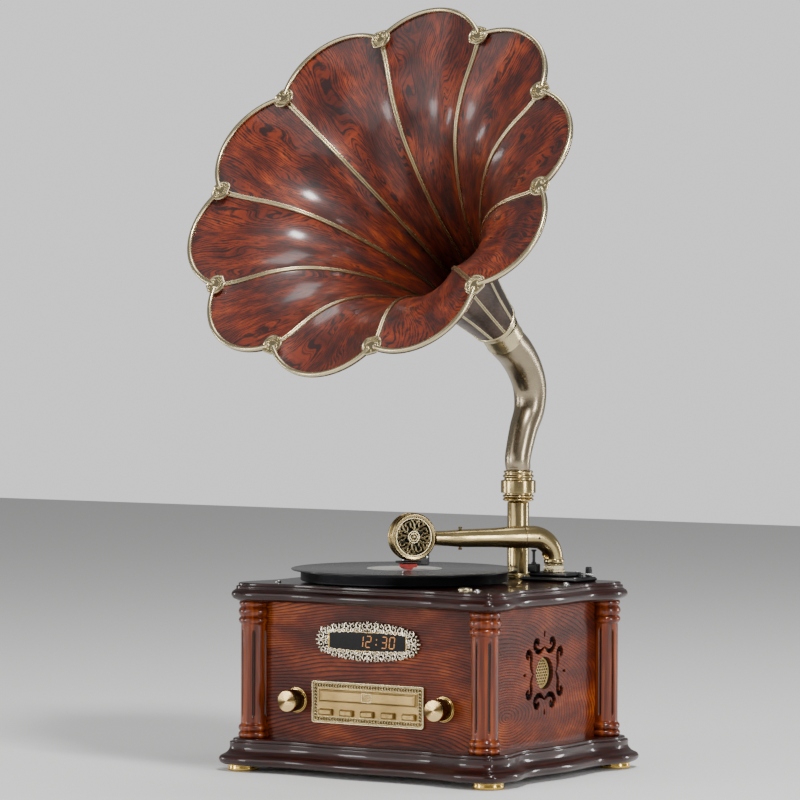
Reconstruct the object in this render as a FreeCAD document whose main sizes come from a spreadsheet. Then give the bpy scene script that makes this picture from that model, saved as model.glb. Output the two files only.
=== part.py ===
"""Horn gramophone with a built-in player: wooden cabinet, turntable, tonearm and a ten-petal horn.

Millimetres. +Z is up, the front faces -Y, and the origin is on the floor, midway between the four feet.
"""
import FreeCAD, Part
import math
import os
import Sketcher

V = FreeCAD.Vector
DOC = FreeCAD.newDocument("gramophone")
SUBPARTS = []

SIZES = {
    # cabinet
    "column_x": 182.0, "column_y": 149.0, "column_radius": 17.6, "column_ring_radius": 20.3,
    "foot_height": 9.0, "foot_radius": 20.6, "foot_x": 193.2, "foot_y": 157.4,
    "base_top": 43.4, "base_reach": 41.8, "base_wall": 10.0, "corner_radius": 16.0,
    "shaft_bottom": 63.0, "shaft_top": 194.9, "cornice_bottom": 226.0, "cornice_reach": 29.8,
    "deck_bottom": 240.0, "deck_top": 249.8, "deck_reach": 15.6, "board_thickness": 8.0,
    "front_face": 144.0, "side_face": 177.0, "floor_board_top": 28.0, "panel_tenon": 1.0,
    "flute_count": 6.0, "flute_radius": 2.0, "flute_start": 8.0,
    # rear and deck fittings
    "supply_z": 80.0, "rocker_x": -100.0, "rocker_width": 13.4, "rocker_height": 19.4,
    "inlet_x": -60.0, "inlet_width": 38.0, "inlet_height": 28.0, "inlet_shell": 30.4, "socket_width": 22.0,
    "socket_height": 14.0, "adapter_x": 130.0, "adapter_y": -117.0, "adapter_radius": 10.0,
    # front controls
    "front_offset": -1.5, "window_width": 121.0, "window_height": 24.0, "window_z": 178.5,
    "bezel_width": 170.0, "bezel_height": 54.0, "bezel_depth": 6.0,
    "plate_width": 177.0, "plate_height": 56.0, "plate_z": 96.2, "plate_depth": 4.0,
    "tray_width": 153.0, "tray_height": 15.4, "tray_z": 104.8, "tray_length": 136.0,
    "key_width": 20.0, "key_height": 8.3, "key_z": 83.2, "key_pitch": 32.8, "key_count": 5.0,
    "knob_x": 115.8, "knob_z": 96.3, "knob_radius": 14.5, "knob_length": 21.0, "knob_shaft": 3.0,
    "speaker_y": 4.0, "speaker_z": 136.4, "speaker_hole": 21.0,
    # turntable
    "spindle_x": -20.2, "spindle_y": -32.5, "spindle_radius": 3.6, "spindle_tip_radius": 3.55,
    "platter_radius": 138.4, "platter_bottom": 252.8, "platter_top": 266.4, "drive_rim_radius": 66.0,
    "record_radius": 151.0, "record_bottom": 266.5, "record_thickness": 2.2, "label_radius": 50.0,
    "pulley_distance": 85.0, "pulley_radius": 6.2, "belt_thickness": 0.8, "belt_gap": 0.3,
    "bearing_gap": 0.05, "gap": 0.3,
    # tonearm
    "arm_x": 125.0, "arm_y": 110.5, "arm_z": 309.5, "arm_heading": 236.3, "arm_bend": 32.0,
    "arm_joint": 46.3, "arm_tube_end": 175.0, "sound_box_at": 206.7, "sound_box_z": 312.7,
    "arm_plinth": 12.0,
    "sound_box_radius": 31.5, "sound_box_depth": 18.0,
    # horn
    "post_x": 52.0, "post_y": 136.0, "post_radius": 14.85, "post_top": 354.0,
    "horn_tilt": 31.3, "mouth_y": -207.0, "mouth_z": 766.0, "petal_count": 10.0,
    "medallion_circle": 246.6, "lobe_rise": 29.0, "rim_radius": 3.2, "rib_width": 4.6, "skin": 2.0,
    "medallion_radius": 14.0,
}

PULLEY_X = "( spindle_x - pulley_distance * 0.70711 )"
PULLEY_Y = "( spindle_y + pulley_distance * 0.70711 )"
PANEL_HEIGHT = "cornice_bottom - base_top"
DECK_SCREWS = (("157", "-130"), ("-157", "-130"), ("-170", "120"), ("175", "60"))
# The angle of a flute on the left and the right column of a row.
FLUTE_TURN = {-1: 4.0, 1: 22.0}
# The horn's inner wall along its ribs: how far back from the mouth, and the radius.
HORN_WALL = [(0, 247), (12, 222), (30, 179), (55, 142), (90, 111), (140, 80), (190, 59), (255, 42),
             (322, 30)]


def make_sheet():
    """The driving dimensions, one per row: the name, and the value under the same alias."""
    sheet = DOC.addObject("Spreadsheet::Sheet", "Sizes")
    for row, (alias, value) in enumerate(SIZES.items(), start=1):
        sheet.set(f"A{row}", alias)
        sheet.set(f"B{row}", str(value))
        sheet.setAlias(f"B{row}", alias)
    DOC.recompute()
    return sheet


SHEET = make_sheet()


def bound(text):
    """An expression in plain size names, with each name pointed at the sheet."""
    words = str(text).replace("(", " ( ").replace(")", " ) ").split()
    return " ".join(f"Sizes.{word}" if word in SIZES else word for word in words)


def value(text):
    """What such an expression comes to, as a number."""
    return float(SHEET.evalExpression(bound(text)))


def plane(body, role):
    return [f for f in body.Origin.OriginFeatures if f.Role == role][0]


def place(thing, x=0, y=0, z=0, axis=V(0, 0, 1), turn=0):
    """Put a thing at x, y, z, each a number or a size expression, turned about an axis by degrees."""
    thing.Placement = FreeCAD.Placement(V(value(x), value(y), value(z)), FreeCAD.Rotation(axis, turn))
    if turn == 0:
        for letter, text in zip("xyz", (x, y, z)):
            thing.setExpression(f"Placement.Base.{letter}", bound(text))
    return thing


def keep(thing, label):
    """Name a finished sub-part. Its label is its node's name."""
    thing.Label = label
    SUBPARTS.append(thing)
    return thing


def block(x, y, z, at, label=None):
    """A box of the given sides whose lowest corner is at a place."""
    thing = DOC.addObject("Part::Box", "Block")
    for side, text in zip(("Length", "Width", "Height"), (x, y, z)):
        thing.setExpression(side, bound(text))
    place(thing, *at)
    return keep(thing, label) if label else thing


def rod(radius, length, at, axis=V(0, 0, 1), turn=0, label=None):
    """A round bar that stands on a place, or points along +Y, -Y or +X when turned."""
    thing = DOC.addObject("Part::Cylinder", "Rod")
    thing.setExpression("Radius", bound(radius))
    thing.setExpression("Height", bound(length))
    place(thing, *at, axis=axis, turn=turn)
    return keep(thing, label) if label else thing


def join(things, label=None):
    thing = DOC.addObject("Part::MultiFuse", "Joined")
    thing.Shapes = things
    return keep(thing, label) if label else thing


def cut(base, tools, label=None):
    thing = DOC.addObject("Part::Cut", "Cut")
    thing.Base = base
    thing.Tool = join(tools) if len(tools) > 1 else tools[0]
    return keep(thing, label) if label else thing


def group(things, label):
    """Separate solids that share one node."""
    thing = DOC.addObject("Part::Compound", "Group")
    thing.Links = things
    return keep(thing, label)


def outline(sketch, points):
    """A closed run of straight lines through points whose places are size expressions."""
    corners = [V(value(a), value(b), 0) for a, b in points]
    count = len(corners)
    for i in range(count):
        sketch.addGeometry(Part.LineSegment(corners[i], corners[(i + 1) % count]), False)
    for i in range(count):
        sketch.addConstraint(Sketcher.Constraint("Coincident", i, 2, (i + 1) % count, 1))
    for i, texts in enumerate(points):
        for kind, text in zip(("DistanceX", "DistanceY"), texts):
            index = sketch.addConstraint(Sketcher.Constraint(kind, -1, 1, i, 1, value(text)))
            sketch.setExpression(f"Constraints[{index}]", bound(text))


def new_sketch(body, role, name):
    sketch = body.newObject("Sketcher::SketchObject", name)
    sketch.AttachmentSupport = (plane(body, role), [""])
    sketch.MapMode = "FlatFace"
    return sketch


def turned(points, at=(0, 0, 0), label=None, axis=V(0, 0, 1), turn=0):
    """A turned piece: its half section, as radius and height, revolved about Z."""
    body = DOC.addObject("PartDesign::Body", "Turned")
    sketch = new_sketch(body, "XZ_Plane", "Section")
    outline(sketch, points)
    revolution = body.newObject("PartDesign::Revolution", "Revolution")
    revolution.Profile = sketch
    revolution.ReferenceAxis = (sketch, ["V_Axis"])
    revolution.Angle = 360
    if isinstance(at, FreeCAD.Placement):
        body.Placement = at
    else:
        place(body, *at, axis=axis, turn=turn)
    return keep(body, label) if label else body


def moulding(points, label):
    """A moulding swept round the cabinet: points are how far it reaches past the columns, and its height."""
    body = DOC.addObject("PartDesign::Body", "Moulding")
    path = new_sketch(body, "XY_Plane", "Path")
    x, y, r = value("column_x"), value("column_y"), value("corner_radius")
    corners = ((x - r, r - y, -90), (x - r, y - r, 0), (r - x, y - r, 90), (r - x, r - y, 180))
    ends = (V(0, -y, 0), V(x - r, -y, 0), V(x, r - y, 0), V(x, y - r, 0), V(x - r, y, 0), V(r - x, y, 0),
            V(-x, y - r, 0), V(-x, r - y, 0), V(r - x, -y, 0), V(0, -y, 0))
    for i, (mid_x, mid_y, start) in enumerate(corners):
        path.addGeometry(Part.LineSegment(ends[2 * i], ends[2 * i + 1]), False)
        circle = Part.Circle(V(mid_x, mid_y, 0), V(0, 0, 1), r)
        path.addGeometry(Part.ArcOfCircle(circle, math.radians(start), math.radians(start + 90)), False)
    path.addGeometry(Part.LineSegment(ends[8], ends[9]), False)
    section = new_sketch(body, "YZ_Plane", "Section")
    outline(section, [(f"-( column_y + {reach} )", height) for reach, height in points])
    DOC.recompute()
    pipe = body.newObject("PartDesign::AdditivePipe", "Sweep")
    pipe.Profile = section
    pipe.Spine = (path, [f"Edge{i + 1}" for i in range(9)])
    return keep(body, label)


def rounded_board(reach, z, height):
    """A flat board that reaches past the columns' centres by some amount, with rounded corners."""
    radius = f"( corner_radius + {reach} )"
    half_x, half_y = f"( column_x + {reach} )", f"( column_y + {reach} )"
    body = block(f"2 * {half_x}", f"2 * {half_y}", height, (f"- {half_x}", f"- {half_y}", z))
    DOC.recompute()
    fillet = DOC.addObject("Part::Fillet", "Board")
    fillet.Base = body
    r = value(radius)
    edges = enumerate(body.Shape.Edges, 1)
    upright = [i for i, edge in edges if abs(edge.Vertexes[0].Z - edge.Vertexes[-1].Z) > 1]
    fillet.Edges = [(i, r, r) for i in upright]
    return fillet


# ---------------------------------------------------------------- cabinet

def make_feet():
    section = [("0", "0"), ("foot_radius - 1", "0"), ("foot_radius", "1"),
               ("foot_radius", "foot_height"), ("0", "foot_height")]
    feet = []
    for sx in (-1, 1):
        for sy in (-1, 1):
            at = (f"{sx} * foot_x", f"{sy} * foot_y", "0")
            feet.append(turned(section, at))
    group(feet, "feet")


def make_base():
    moulding([("- base_wall", "foot_height"), ("base_reach", "foot_height"),
              ("base_reach + 1", "foot_height + 5"),
              ("base_reach", "foot_height + 11"), ("base_reach - 7", "foot_height + 13"),
              ("base_reach - 12", "foot_height + 24"), ("base_reach - 15", "base_top - 5"),
              ("base_reach - 17", "base_top"), ("- base_wall", "base_top")], "base_plinth")
    keep(rounded_board("( 0 - base_wall - gap )", "floor_board_top - board_thickness", "board_thickness"),
         "bottom_board")


def fluted_column(x, y, turn):
    """A column with ring mouldings at both ends and flutes cut round its shaft, the first at an angle."""
    ring, shaft = "column_ring_radius", "column_radius"
    heights = [("base_top", "base_top + 9"), ("base_top + 9.5", "shaft_bottom - 1")]
    heights += [("shaft_top + 1", "shaft_top + 9"), ("shaft_top + 10", "shaft_top + 22"),
                ("shaft_top + 23", "cornice_bottom")]
    points = [("0", "base_top")]
    for i, (low, high) in enumerate(heights):
        if i == 2:
            points += [(shaft, "shaft_bottom"), (shaft, "shaft_top")]
        points += [(f"{ring} - 2.5", low), (ring, f"( {low} ) + 2.5"), (ring, f"( {high} ) - 2.5"),
                   (f"{ring} - 2.5", high)]
    points.append(("0", "cornice_bottom"))
    body = turned(points, (x, y, "0"))
    DOC.recompute()
    plain = body.Shape.Volume
    flute = new_sketch(body, "XY_Plane", "Flute")
    flute.AttachmentOffset = FreeCAD.Placement(V(0, 0, value("shaft_bottom + flute_start")),
                                               FreeCAD.Rotation())
    flute.setExpression("AttachmentOffset.Base.z", bound("shaft_bottom + flute_start"))
    around = V(math.cos(math.radians(turn)), math.sin(math.radians(turn)), 0) * value("column_radius")
    flute.addGeometry(Part.Circle(around, V(0, 0, 1), value("flute_radius")), False)
    DOC.recompute()
    pocket = body.newObject("PartDesign::Pocket", "FlutePocket")
    pocket.Profile = flute
    pocket.Reversed = True
    pocket.setExpression("Length", bound("shaft_top - shaft_bottom - 2 * flute_start"))
    pattern = body.newObject("PartDesign::PolarPattern", "Flutes")
    pattern.Originals = [pocket]
    pattern.Axis = (plane(body, "Z_Axis"), [""])
    pattern.Angle = 360
    pattern.Occurrences = int(value("flute_count"))
    body.Tip = pattern
    DOC.recompute()
    if body.Shape.Volume >= plain:
        raise RuntimeError("the flutes cut nothing")
    return body


def make_columns():
    for row, sign in (("front_columns", -1), ("rear_columns", 1)):
        pair = [fluted_column(f"{side} * column_x", f"{sign} * column_y", FLUTE_TURN[side] * -sign)
                for side in (-1, 1)]
        group(pair, row)


def key_place(index):
    return f"( front_offset + ( {index} - 2 ) * key_pitch )"


def make_front_panel():
    half = "( column_x - column_radius + panel_tenon )"
    board = block(f"2 * {half}", "board_thickness", PANEL_HEIGHT, (f"- {half}", "- front_face", "base_top"))
    through = ("- front_face - 1", "board_thickness + 2")
    holes = [
        block("window_width + gap", through[1], "window_height + gap",
              ("front_offset - ( window_width + gap ) / 2", through[0],
               "window_z - ( window_height + gap ) / 2")),
        block("tray_width - 20", through[1], "9",
              ("front_offset - ( tray_width - 20 ) / 2", through[0], "tray_z - 4")),
    ]
    for i in range(int(value("key_count"))):
        holes.append(block("9", through[1], "6", (f"{key_place(i)} - 4.5", through[0], "key_z - 3")))
    for side in (-1, 1):
        holes.append(rod("knob_shaft + bearing_gap", through[1], (f"{side} * knob_x", through[0], "knob_z"),
                         V(1, 0, 0), -90))
    cut(board, holes, "front_panel")


def make_side_panels():
    half = "( column_y - column_radius + panel_tenon )"
    for name, side in (("left_panel", -1), ("right_panel", 1)):
        x = "side_face - board_thickness" if side > 0 else "- side_face"
        board = block("board_thickness", f"2 * {half}", PANEL_HEIGHT, (x, f"- {half}", "base_top"))
        start = "side_face - board_thickness - 1" if side > 0 else "- side_face - 1"
        hole = rod("speaker_hole", "board_thickness + 2", (start, "speaker_y", "speaker_z"), V(0, 1, 0), 90)
        cut(board, [hole], name)


def make_rear_panel():
    half = "( column_x - column_radius + panel_tenon )"
    board = block(f"2 * {half}", "board_thickness", PANEL_HEIGHT,
                  (f"- {half}", "front_face - board_thickness", "base_top"))
    start, through = "front_face - board_thickness - 1", "board_thickness + 2"

    def supply_block(x, width, deep, height, y, label=None):
        return block(width, deep, height, (f"{x} - ( {width} ) / 2", y, f"supply_z - ( {height} ) / 2"),
                     label)

    rocker = ("rocker_x", "rocker_width", "rocker_height")
    holes = [supply_block(rocker[0], f"{rocker[1]} + 1.2", through, f"{rocker[2]} + 3.2", start),
             supply_block("inlet_x", "inlet_shell + 0.6", through, "inlet_shell - 9.4", start)]
    cut(board, holes, "rear_panel")
    face = supply_block("inlet_x", "inlet_width", "3", "inlet_height", "front_face")
    shell = supply_block("inlet_x", "inlet_shell", "22", "inlet_shell - 10", "front_face - 22")
    socket = supply_block("inlet_x", "socket_width", "16", "socket_height", "front_face - 12")
    cut(join([face, shell]), [socket], "mains_inlet")
    supply_block(rocker[0], rocker[1], "12", rocker[2], "front_face - 8", "power_rocker")


def make_top():
    moulding([("-3", "cornice_bottom"), ("cornice_reach - 7", "cornice_bottom"),
              ("cornice_reach - 2", "cornice_bottom + 2"), ("cornice_reach", "cornice_bottom + 6"),
              ("cornice_reach - 2", "cornice_bottom + 10"), ("cornice_reach - 7", "cornice_bottom + 11"),
              ("deck_reach + 1", "deck_bottom"), ("-3", "deck_bottom")], "cornice")
    board = rounded_board("deck_reach", "deck_bottom", "deck_top - deck_bottom")
    depth = ("deck_bottom - 1", "deck_top - deck_bottom + 2")
    holes = [rod("9.2", depth[1], ("spindle_x", "spindle_y", depth[0])),
             rod("4", depth[1], (PULLEY_X, PULLEY_Y, depth[0])),
             rod("post_radius + bearing_gap", depth[1], ("post_x", "post_y", depth[0]))]
    cut(board, holes, "deck_board")
    screw = [("0", "deck_top"), ("4.5", "deck_top"), ("3.6", "deck_top + 2.4"), ("0", "deck_top + 3")]
    group([turned(screw, (x, y, "0")) for x, y in DECK_SCREWS], "deck_screws")
    adapter = rod("adapter_radius", "3", ("adapter_x", "adapter_y", "deck_top"))
    hole = rod("spindle_radius + 0.1", "5", ("adapter_x", "adapter_y", "deck_top - 1"))
    cut(adapter, [hole], "record_adapter")


# ---------------------------------------------------------------- front controls

def diamond(reach, half_width, half_height):
    """Corner points of a long eight-sided frame, in x and z, grown by some reach."""
    w, t = f"( {half_width} + {reach} )", f"( {half_height} + {reach} )"
    side, rise = f"{w} * 0.82", f"{t} * 0.55"
    return [(w, "0"), (side, rise), ("0", t), (f"- {side}", rise), (f"- {w}", "0"),
            (f"- {side}", f"- {rise}"),
            ("0", f"- {t}"), (side, f"- {rise}")]


def make_display():
    body = DOC.addObject("PartDesign::Body", "Bezel")
    sketch = new_sketch(body, "XZ_Plane", "Frame")
    outline(sketch, diamond("0", "( bezel_width / 2 )", "( bezel_height / 2 )"))
    DOC.recompute()
    pad = body.newObject("PartDesign::Pad", "FramePad")
    pad.Profile = sketch
    pad.setExpression("Length", bound("bezel_depth"))
    place(body, "front_offset", "- front_face", "window_z")
    opening = block("window_width", "20", "window_height",
                    ("front_offset - window_width / 2", "- front_face - 10", "window_z - window_height / 2"))
    cut(body, [opening], "display_bezel")
    corner = ("front_offset - window_width / 2 + gap", "- front_face - 3",
              "window_z - window_height / 2 + gap")
    block("window_width - 2 * gap", "29", "window_height - 2 * gap", corner, "display_module")


def make_control_plate():
    plate = block("plate_width", "plate_depth", "plate_height",
                  ("front_offset - plate_width / 2", "- front_face - plate_depth",
                   "plate_z - plate_height / 2"))
    start = "- front_face - plate_depth - 1"
    holes = [block("tray_width + 1", "plate_depth + 2", "tray_height + 1",
                   ("front_offset - ( tray_width + 1 ) / 2", start, "tray_z - ( tray_height + 1 ) / 2"))]
    for i in range(int(value("key_count"))):
        corner = (f"{key_place(i)} - ( key_width + 0.8 ) / 2", start, "key_z - ( key_height + 0.8 ) / 2")
        holes.append(block("key_width + 0.8", "plate_depth + 2", "key_height + 0.8", corner))
    cut(plate, holes, "control_plate")
    for i in range(int(value("key_count"))):
        corner = (f"{key_place(i)} - key_width / 2", "- front_face - plate_depth - 2.5",
                  "key_z - key_height / 2")
        cap = block("key_width", "4.7", "key_height", corner)
        stem = block("7", "16", "4", (f"{key_place(i)} - 3.5", "- front_face - 3", "key_z - 2"))
        join([cap, stem], f"push_button_{i + 1}")
    block("150", "1.6", "20", ("front_offset - 75", "- front_face + 14.8", "73"), "button_board")


def make_knobs():
    collars = []
    for name, side in (("volume_knob", -1), ("tuning_knob", 1)):
        at = (f"{side} * knob_x", "- front_face", "knob_z")
        ring = turned([("knob_shaft + 3", "0"), ("17", "0"), ("17", "1.6"), ("15.8", "3"),
                       ("knob_shaft + 3", "3")],
                      at, axis=V(1, 0, 0), turn=90)
        collars.append(ring)
        turned([("0", "-13"), ("knob_shaft", "-13"), ("knob_shaft", "3.6"), ("knob_radius - 0.6", "3.6"),
                ("knob_radius", "4.4"), ("knob_radius", "knob_length + 3"),
                ("knob_radius - 0.8", "knob_length + 3.6"),
                ("0", "knob_length + 3.6")], at, name, axis=V(1, 0, 0), turn=90)
    group(collars, "knob_collars")


def make_disc_drive():
    front = block("tray_width", "4", "tray_height",
                  ("front_offset - tray_width / 2", "- front_face - plate_depth - 0.6",
                   "tray_z - tray_height / 2"))
    bed = block("tray_width - 24", "tray_length", "7",
                ("front_offset - ( tray_width - 24 ) / 2", "- front_face - 1", "tray_z - 3"))
    seat = rod("60.5", "5", ("front_offset", "- front_face + 69", "tray_z + 1"))
    cut(join([front, bed]), [seat], "disc_tray")
    wide = "( tray_width - 9 )"
    shell = block(wide, "146", "28", (f"front_offset - {wide} / 2", "- front_face + 10", "tray_z - 10"))
    room = block(f"{wide} - 10", "138", "20", (f"front_offset - {wide} / 2 + 5", "- front_face + 9",
                                               "tray_z - 6"))
    legs = [rod("5", "tray_z - 10 - floor_board_top + 1", (f"front_offset + {sx}", f"{y}",
                                                           "floor_board_top"))
            for sx in (-62, 62) for y in (-88, -2)]
    join([cut(shell, [room])] + legs, "disc_drive")


# ---------------------------------------------------------------- works inside

def make_works():
    cone = [("0", "26"), ("22", "26"), ("22", "42"), ("0", "42")]
    frame = [("20", "0"), ("38", "0"), ("38", "3"), ("26", "26"), ("22.2", "26"), ("20", "4")]
    speakers = []
    meshes = []
    for side in (-1, 1):
        back = (f"{side} * ( side_face - board_thickness )", "speaker_y", "speaker_z")
        speakers.append(join([turned(frame, back, axis=V(0, 1, 0), turn=-90 * side),
                              turned(cone, back, axis=V(0, 1, 0), turn=-90 * side)]))
        mesh = f"{side} * ( side_face - board_thickness + 0.8 ) - 0.6"
        meshes.append(rod("speaker_hole - gap", "1.2", (mesh, "speaker_y", "speaker_z"), V(0, 1, 0), 90))
    group(speakers, "speakers")
    group(meshes, "speaker_grilles")
    board = block("90", "100", "2", ("-150", "20", "42"))
    posts = [rod("3", "14.5", (f"{x}", f"{y}", "floor_board_top")) for x in (-145, -65) for y in (25, 115)]
    chips = [block("26", "26", "5", ("-130", "50", "43.5")), block("18", "12", "9", ("-92", "84", "43.5"))]
    join([board] + posts + chips, "main_board")
    core = block("60", "48", "46", ("84", "52", "floor_board_top"))
    coils = [rod("20", "9", ("114", y, "floor_board_top + 23"), V(1, 0, 0), -90) for y in ("44", "99")]
    join([core] + coils, "transformer")
    can = rod("17", "deck_bottom - 205", (PULLEY_X, PULLEY_Y, "205"))
    cut(can, [rod("1.5 + bearing_gap", "30", (PULLEY_X, PULLEY_Y, "222"))], "drive_motor")
    throat = block("32", "45", "deck_bottom - 226.4", ("post_x - 16", "post_y - 36", "226.4"))
    pot = rod("28", "46.5", ("post_x", "post_y - 36", "180"))
    duct = rod("9", "20", ("post_x", "post_y", "228"))
    cut(join([throat, pot]), [duct], "horn_driver")


# ---------------------------------------------------------------- turntable

def make_turntable():
    at = ("spindle_x", "spindle_y", "0")
    bore = "spindle_radius + 0.02"
    low, top = "platter_bottom", "platter_top"
    web = f"{top} - 3.5"
    turned([(bore, f"{low} + 0.4"), ("12", f"{low} + 0.4"), ("12", web), ("drive_rim_radius - 4", web),
            ("drive_rim_radius - 4", f"{low} + 0.4"), ("drive_rim_radius", f"{low} + 0.4"),
            ("drive_rim_radius", web),
            ("platter_radius - 5", web), ("platter_radius - 5", low), ("platter_radius - 0.8", low),
            ("platter_radius", f"{low} + 0.8"), ("platter_radius", f"{top} - 1"),
            ("platter_radius - 1", top),
            (bore, top)], at, "platter")
    free = "record_bottom + record_thickness + 0.6"
    turned([("0", "205"), ("4", "205"), ("4", low), ("spindle_radius", low), ("spindle_radius", free),
            ("spindle_tip_radius", free), ("spindle_tip_radius", f"{free} + 11"), ("2", f"{free} + 13"),
            ("0", f"{free} + 13.4")], at, "platter_spindle")
    base = "record_bottom"
    turned([("spindle_radius + 0.05", base), ("record_radius - 1", base), ("record_radius", f"{base} + 1.1"),
            ("record_radius - 1", f"{base} + record_thickness"),
            ("spindle_radius + 0.05", f"{base} + record_thickness")], at, "record")
    turned([("0", "200"), ("9", "200"), ("9", "deck_bottom - 4"), ("16", "deck_bottom - 4"),
            ("16", "deck_bottom"),
            ("9", "deck_bottom"), ("9", "251.5"), ("4 + bearing_gap", "251.5"), ("4 + bearing_gap", "204.6"),
            ("0", "204.6")], at, "platter_bearing")
    turned([("0", "225"), ("1.5", "225"), ("1.5", "251.6"), ("pulley_radius + 0.9", "251.6"),
            ("pulley_radius", "253.5"), ("pulley_radius", "260"), ("0", "260.4")],
           (PULLEY_X, PULLEY_Y, "0"), "motor_pulley")


def belt_loop(grow):
    """The belt's line round rim and pulley: two arcs joined by straight runs, grown outwards."""
    rim = value("drive_rim_radius + belt_gap") + grow
    pulley = value("pulley_radius + belt_gap") + grow
    apart = value("pulley_distance")
    lean = math.acos((rim - pulley) / apart)
    centre, far = V(0, 0, 0), V(apart, 0, 0)
    at = {s: V(math.cos(lean), s * math.sin(lean), 0) for s in (-1, 1)}
    edges = [Part.Arc(centre + at[1] * rim, V(-rim, 0, 0), centre + at[-1] * rim).toShape(),
             Part.LineSegment(centre + at[-1] * rim, far + at[-1] * pulley).toShape(),
             Part.Arc(far + at[-1] * pulley, far + V(pulley, 0, 0), far + at[1] * pulley).toShape(),
             Part.LineSegment(far + at[1] * pulley, centre + at[1] * rim).toShape()]
    return Part.Face(Part.Wire(edges))


def make_belt():
    thing = DOC.addObject("Part::Feature", "Belt")
    ring = belt_loop(value("belt_thickness")).cut(belt_loop(0))
    thing.Shape = ring.extrude(V(0, 0, 5))
    place(thing, "spindle_x", "spindle_y", "platter_bottom + 1.7", turn=135)
    keep(thing, "drive_belt")


# ---------------------------------------------------------------- tonearm

def arm_point(along, side, z):
    """A point beside the tonearm: along it from its base, to its right, and its height."""
    heading = math.radians(value("arm_heading"))
    ahead = V(math.cos(heading), math.sin(heading), 0)
    right = V(-math.sin(heading), math.cos(heading), 0)
    return V(value("arm_x"), value("arm_y"), z) + ahead * along + right * side


def tube(stations, label, wall=0.0, straight=False):
    """A round tube through stations, each a centre, a direction and a radius, hollow if it has a wall."""
    def loft(shrink):
        rings = [Part.Wire(Part.makeCircle(r - shrink, p, d)) for p, d, r in stations]
        return Part.makeLoft(rings, True, straight)
    thing = DOC.addObject("Part::Feature", "Tube")
    thing.Shape = loft(0).cut(loft(wall)) if wall else loft(0)
    return keep(thing, label) if label else thing


def make_tonearm():
    z, bend, joint = value("arm_z"), value("arm_bend"), value("arm_joint")
    base = "deck_top + arm_plinth"
    turned([("0", base), ("15", base), ("15", f"{base} + 10.6"), ("8", f"{base} + 10.6"),
            ("8", f"{base} + 20"),
            ("0", f"{base} + 20")], ("arm_x", "arm_y", "0"), "tonearm_base")
    foot = value(base) + 11
    up, ahead = V(0, 0, 1), arm_point(1, 0, 0) - arm_point(0, 0, 0)
    stations = [(arm_point(0, 0, foot), up, 12.6), (arm_point(0, 0, z - bend), up, 12.6)]
    for turn in (30, 60, 90):
        a = math.radians(turn)
        centre = arm_point(bend * (1 - math.cos(a)), 0, z - bend + bend * math.sin(a))
        stations.append((centre, up * math.cos(a) + ahead * math.sin(a), 12.8 + 2.0 * turn / 90))
    stations.append((arm_point(joint - 0.4, 0, z), ahead, 15))
    elbow = tube(stations, None)
    socket = rod("8 + bearing_gap", "12", ("arm_x", "arm_y", f"{base} + 10"))
    cut(elbow, [socket], "tonearm_elbow")
    end = value("arm_tube_end")
    tube([(arm_point(joint, 0, z), ahead, 15), (arm_point(76, 0, z), ahead, 14.6),
          (arm_point(105, 0, z), ahead, 12.6), (arm_point(140, 0, z), ahead, 12.2),
          (arm_point(144, 0, z), ahead, 8.6), (arm_point(end, 0, z + 0.6), ahead, 8.4)], "tonearm_tube",
         straight=True)


def beside_arm(x, y, z, along, side, low):
    """A block square to the tonearm: its sides, and where its lowest corner is along it, beside it and up."""
    piece = DOC.addObject("Part::Box", "Block")
    piece.Length, piece.Width, piece.Height = x, y, z
    turn = FreeCAD.Rotation(V(0, 0, 1), value("arm_heading"))
    piece.Placement = FreeCAD.Placement(arm_point(along, side, low), turn)
    return piece


def make_sound_box():
    depth = value("sound_box_depth")
    centre = arm_point(value("sound_box_at"), 0, value("sound_box_z"))
    side = arm_point(0, 1, 0) - arm_point(0, 0, 0)
    turn = FreeCAD.Rotation(V(0, 0, 1), side)
    seat = FreeCAD.Placement(centre - side * depth / 2, turn)
    shell = turned([("0", "0"), ("sound_box_radius - 2", "0"), ("sound_box_radius", "2"),
                    ("sound_box_radius", "sound_box_depth - 2"), ("sound_box_radius - 2", "sound_box_depth"),
                    ("sound_box_radius - 5", "sound_box_depth"), ("sound_box_radius - 5", "8"), ("0", "8")],
                    seat)
    face = turned([("0", "12"), ("sound_box_radius - 5.3", "12"), ("sound_box_radius - 5.3", "15"),
                   ("8", "16"),
                   ("6", "18"), ("0", "18")], seat)
    keep(shell, "sound_box")
    keep(face, "sound_box_face")
    low = value("record_bottom + record_thickness")
    along = value("sound_box_at")
    carrier = beside_arm(30, 20, 3.6, along - 12, -14, low + 8.6)
    bracket = beside_arm(18, 8.6, 18.3, along - 30, -18, low + 5)
    join([carrier, bracket], "cartridge")
    keep(beside_arm(22, 10, 7.9, along - 6, -4, low + 0.4), "stylus")


def make_deck_fittings():
    plate = block("88", "58", "arm_plinth / 2", ("86", "86", "deck_top"))
    plinth = block("62", "44", "arm_plinth", ("94", "92", "deck_top"))
    rest = block("14", "12", "11", ("94", "92", "deck_top + arm_plinth"))
    lift = rod("2", "20", ("101", "98", "deck_top + arm_plinth + 10"))
    join([plate, plinth, rest, lift], "arm_rest")
    step = "( deck_top + arm_plinth / 2 + 0.3 )"
    turned([("0", step), ("4.5", step), ("4.5", f"{step} + 12"), ("3.9", f"{step} + 13"),
            ("0", f"{step} + 13")],
           ("164", "136", "0"), "speed_knob")
    pivot = rod("4", "6", ("166", "112", step))
    handle = block("18", "5", "2.5", ("166", "109.5", f"{step} + 3"))
    join([pivot, handle], "lift_lever")


# ---------------------------------------------------------------- horn

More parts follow.
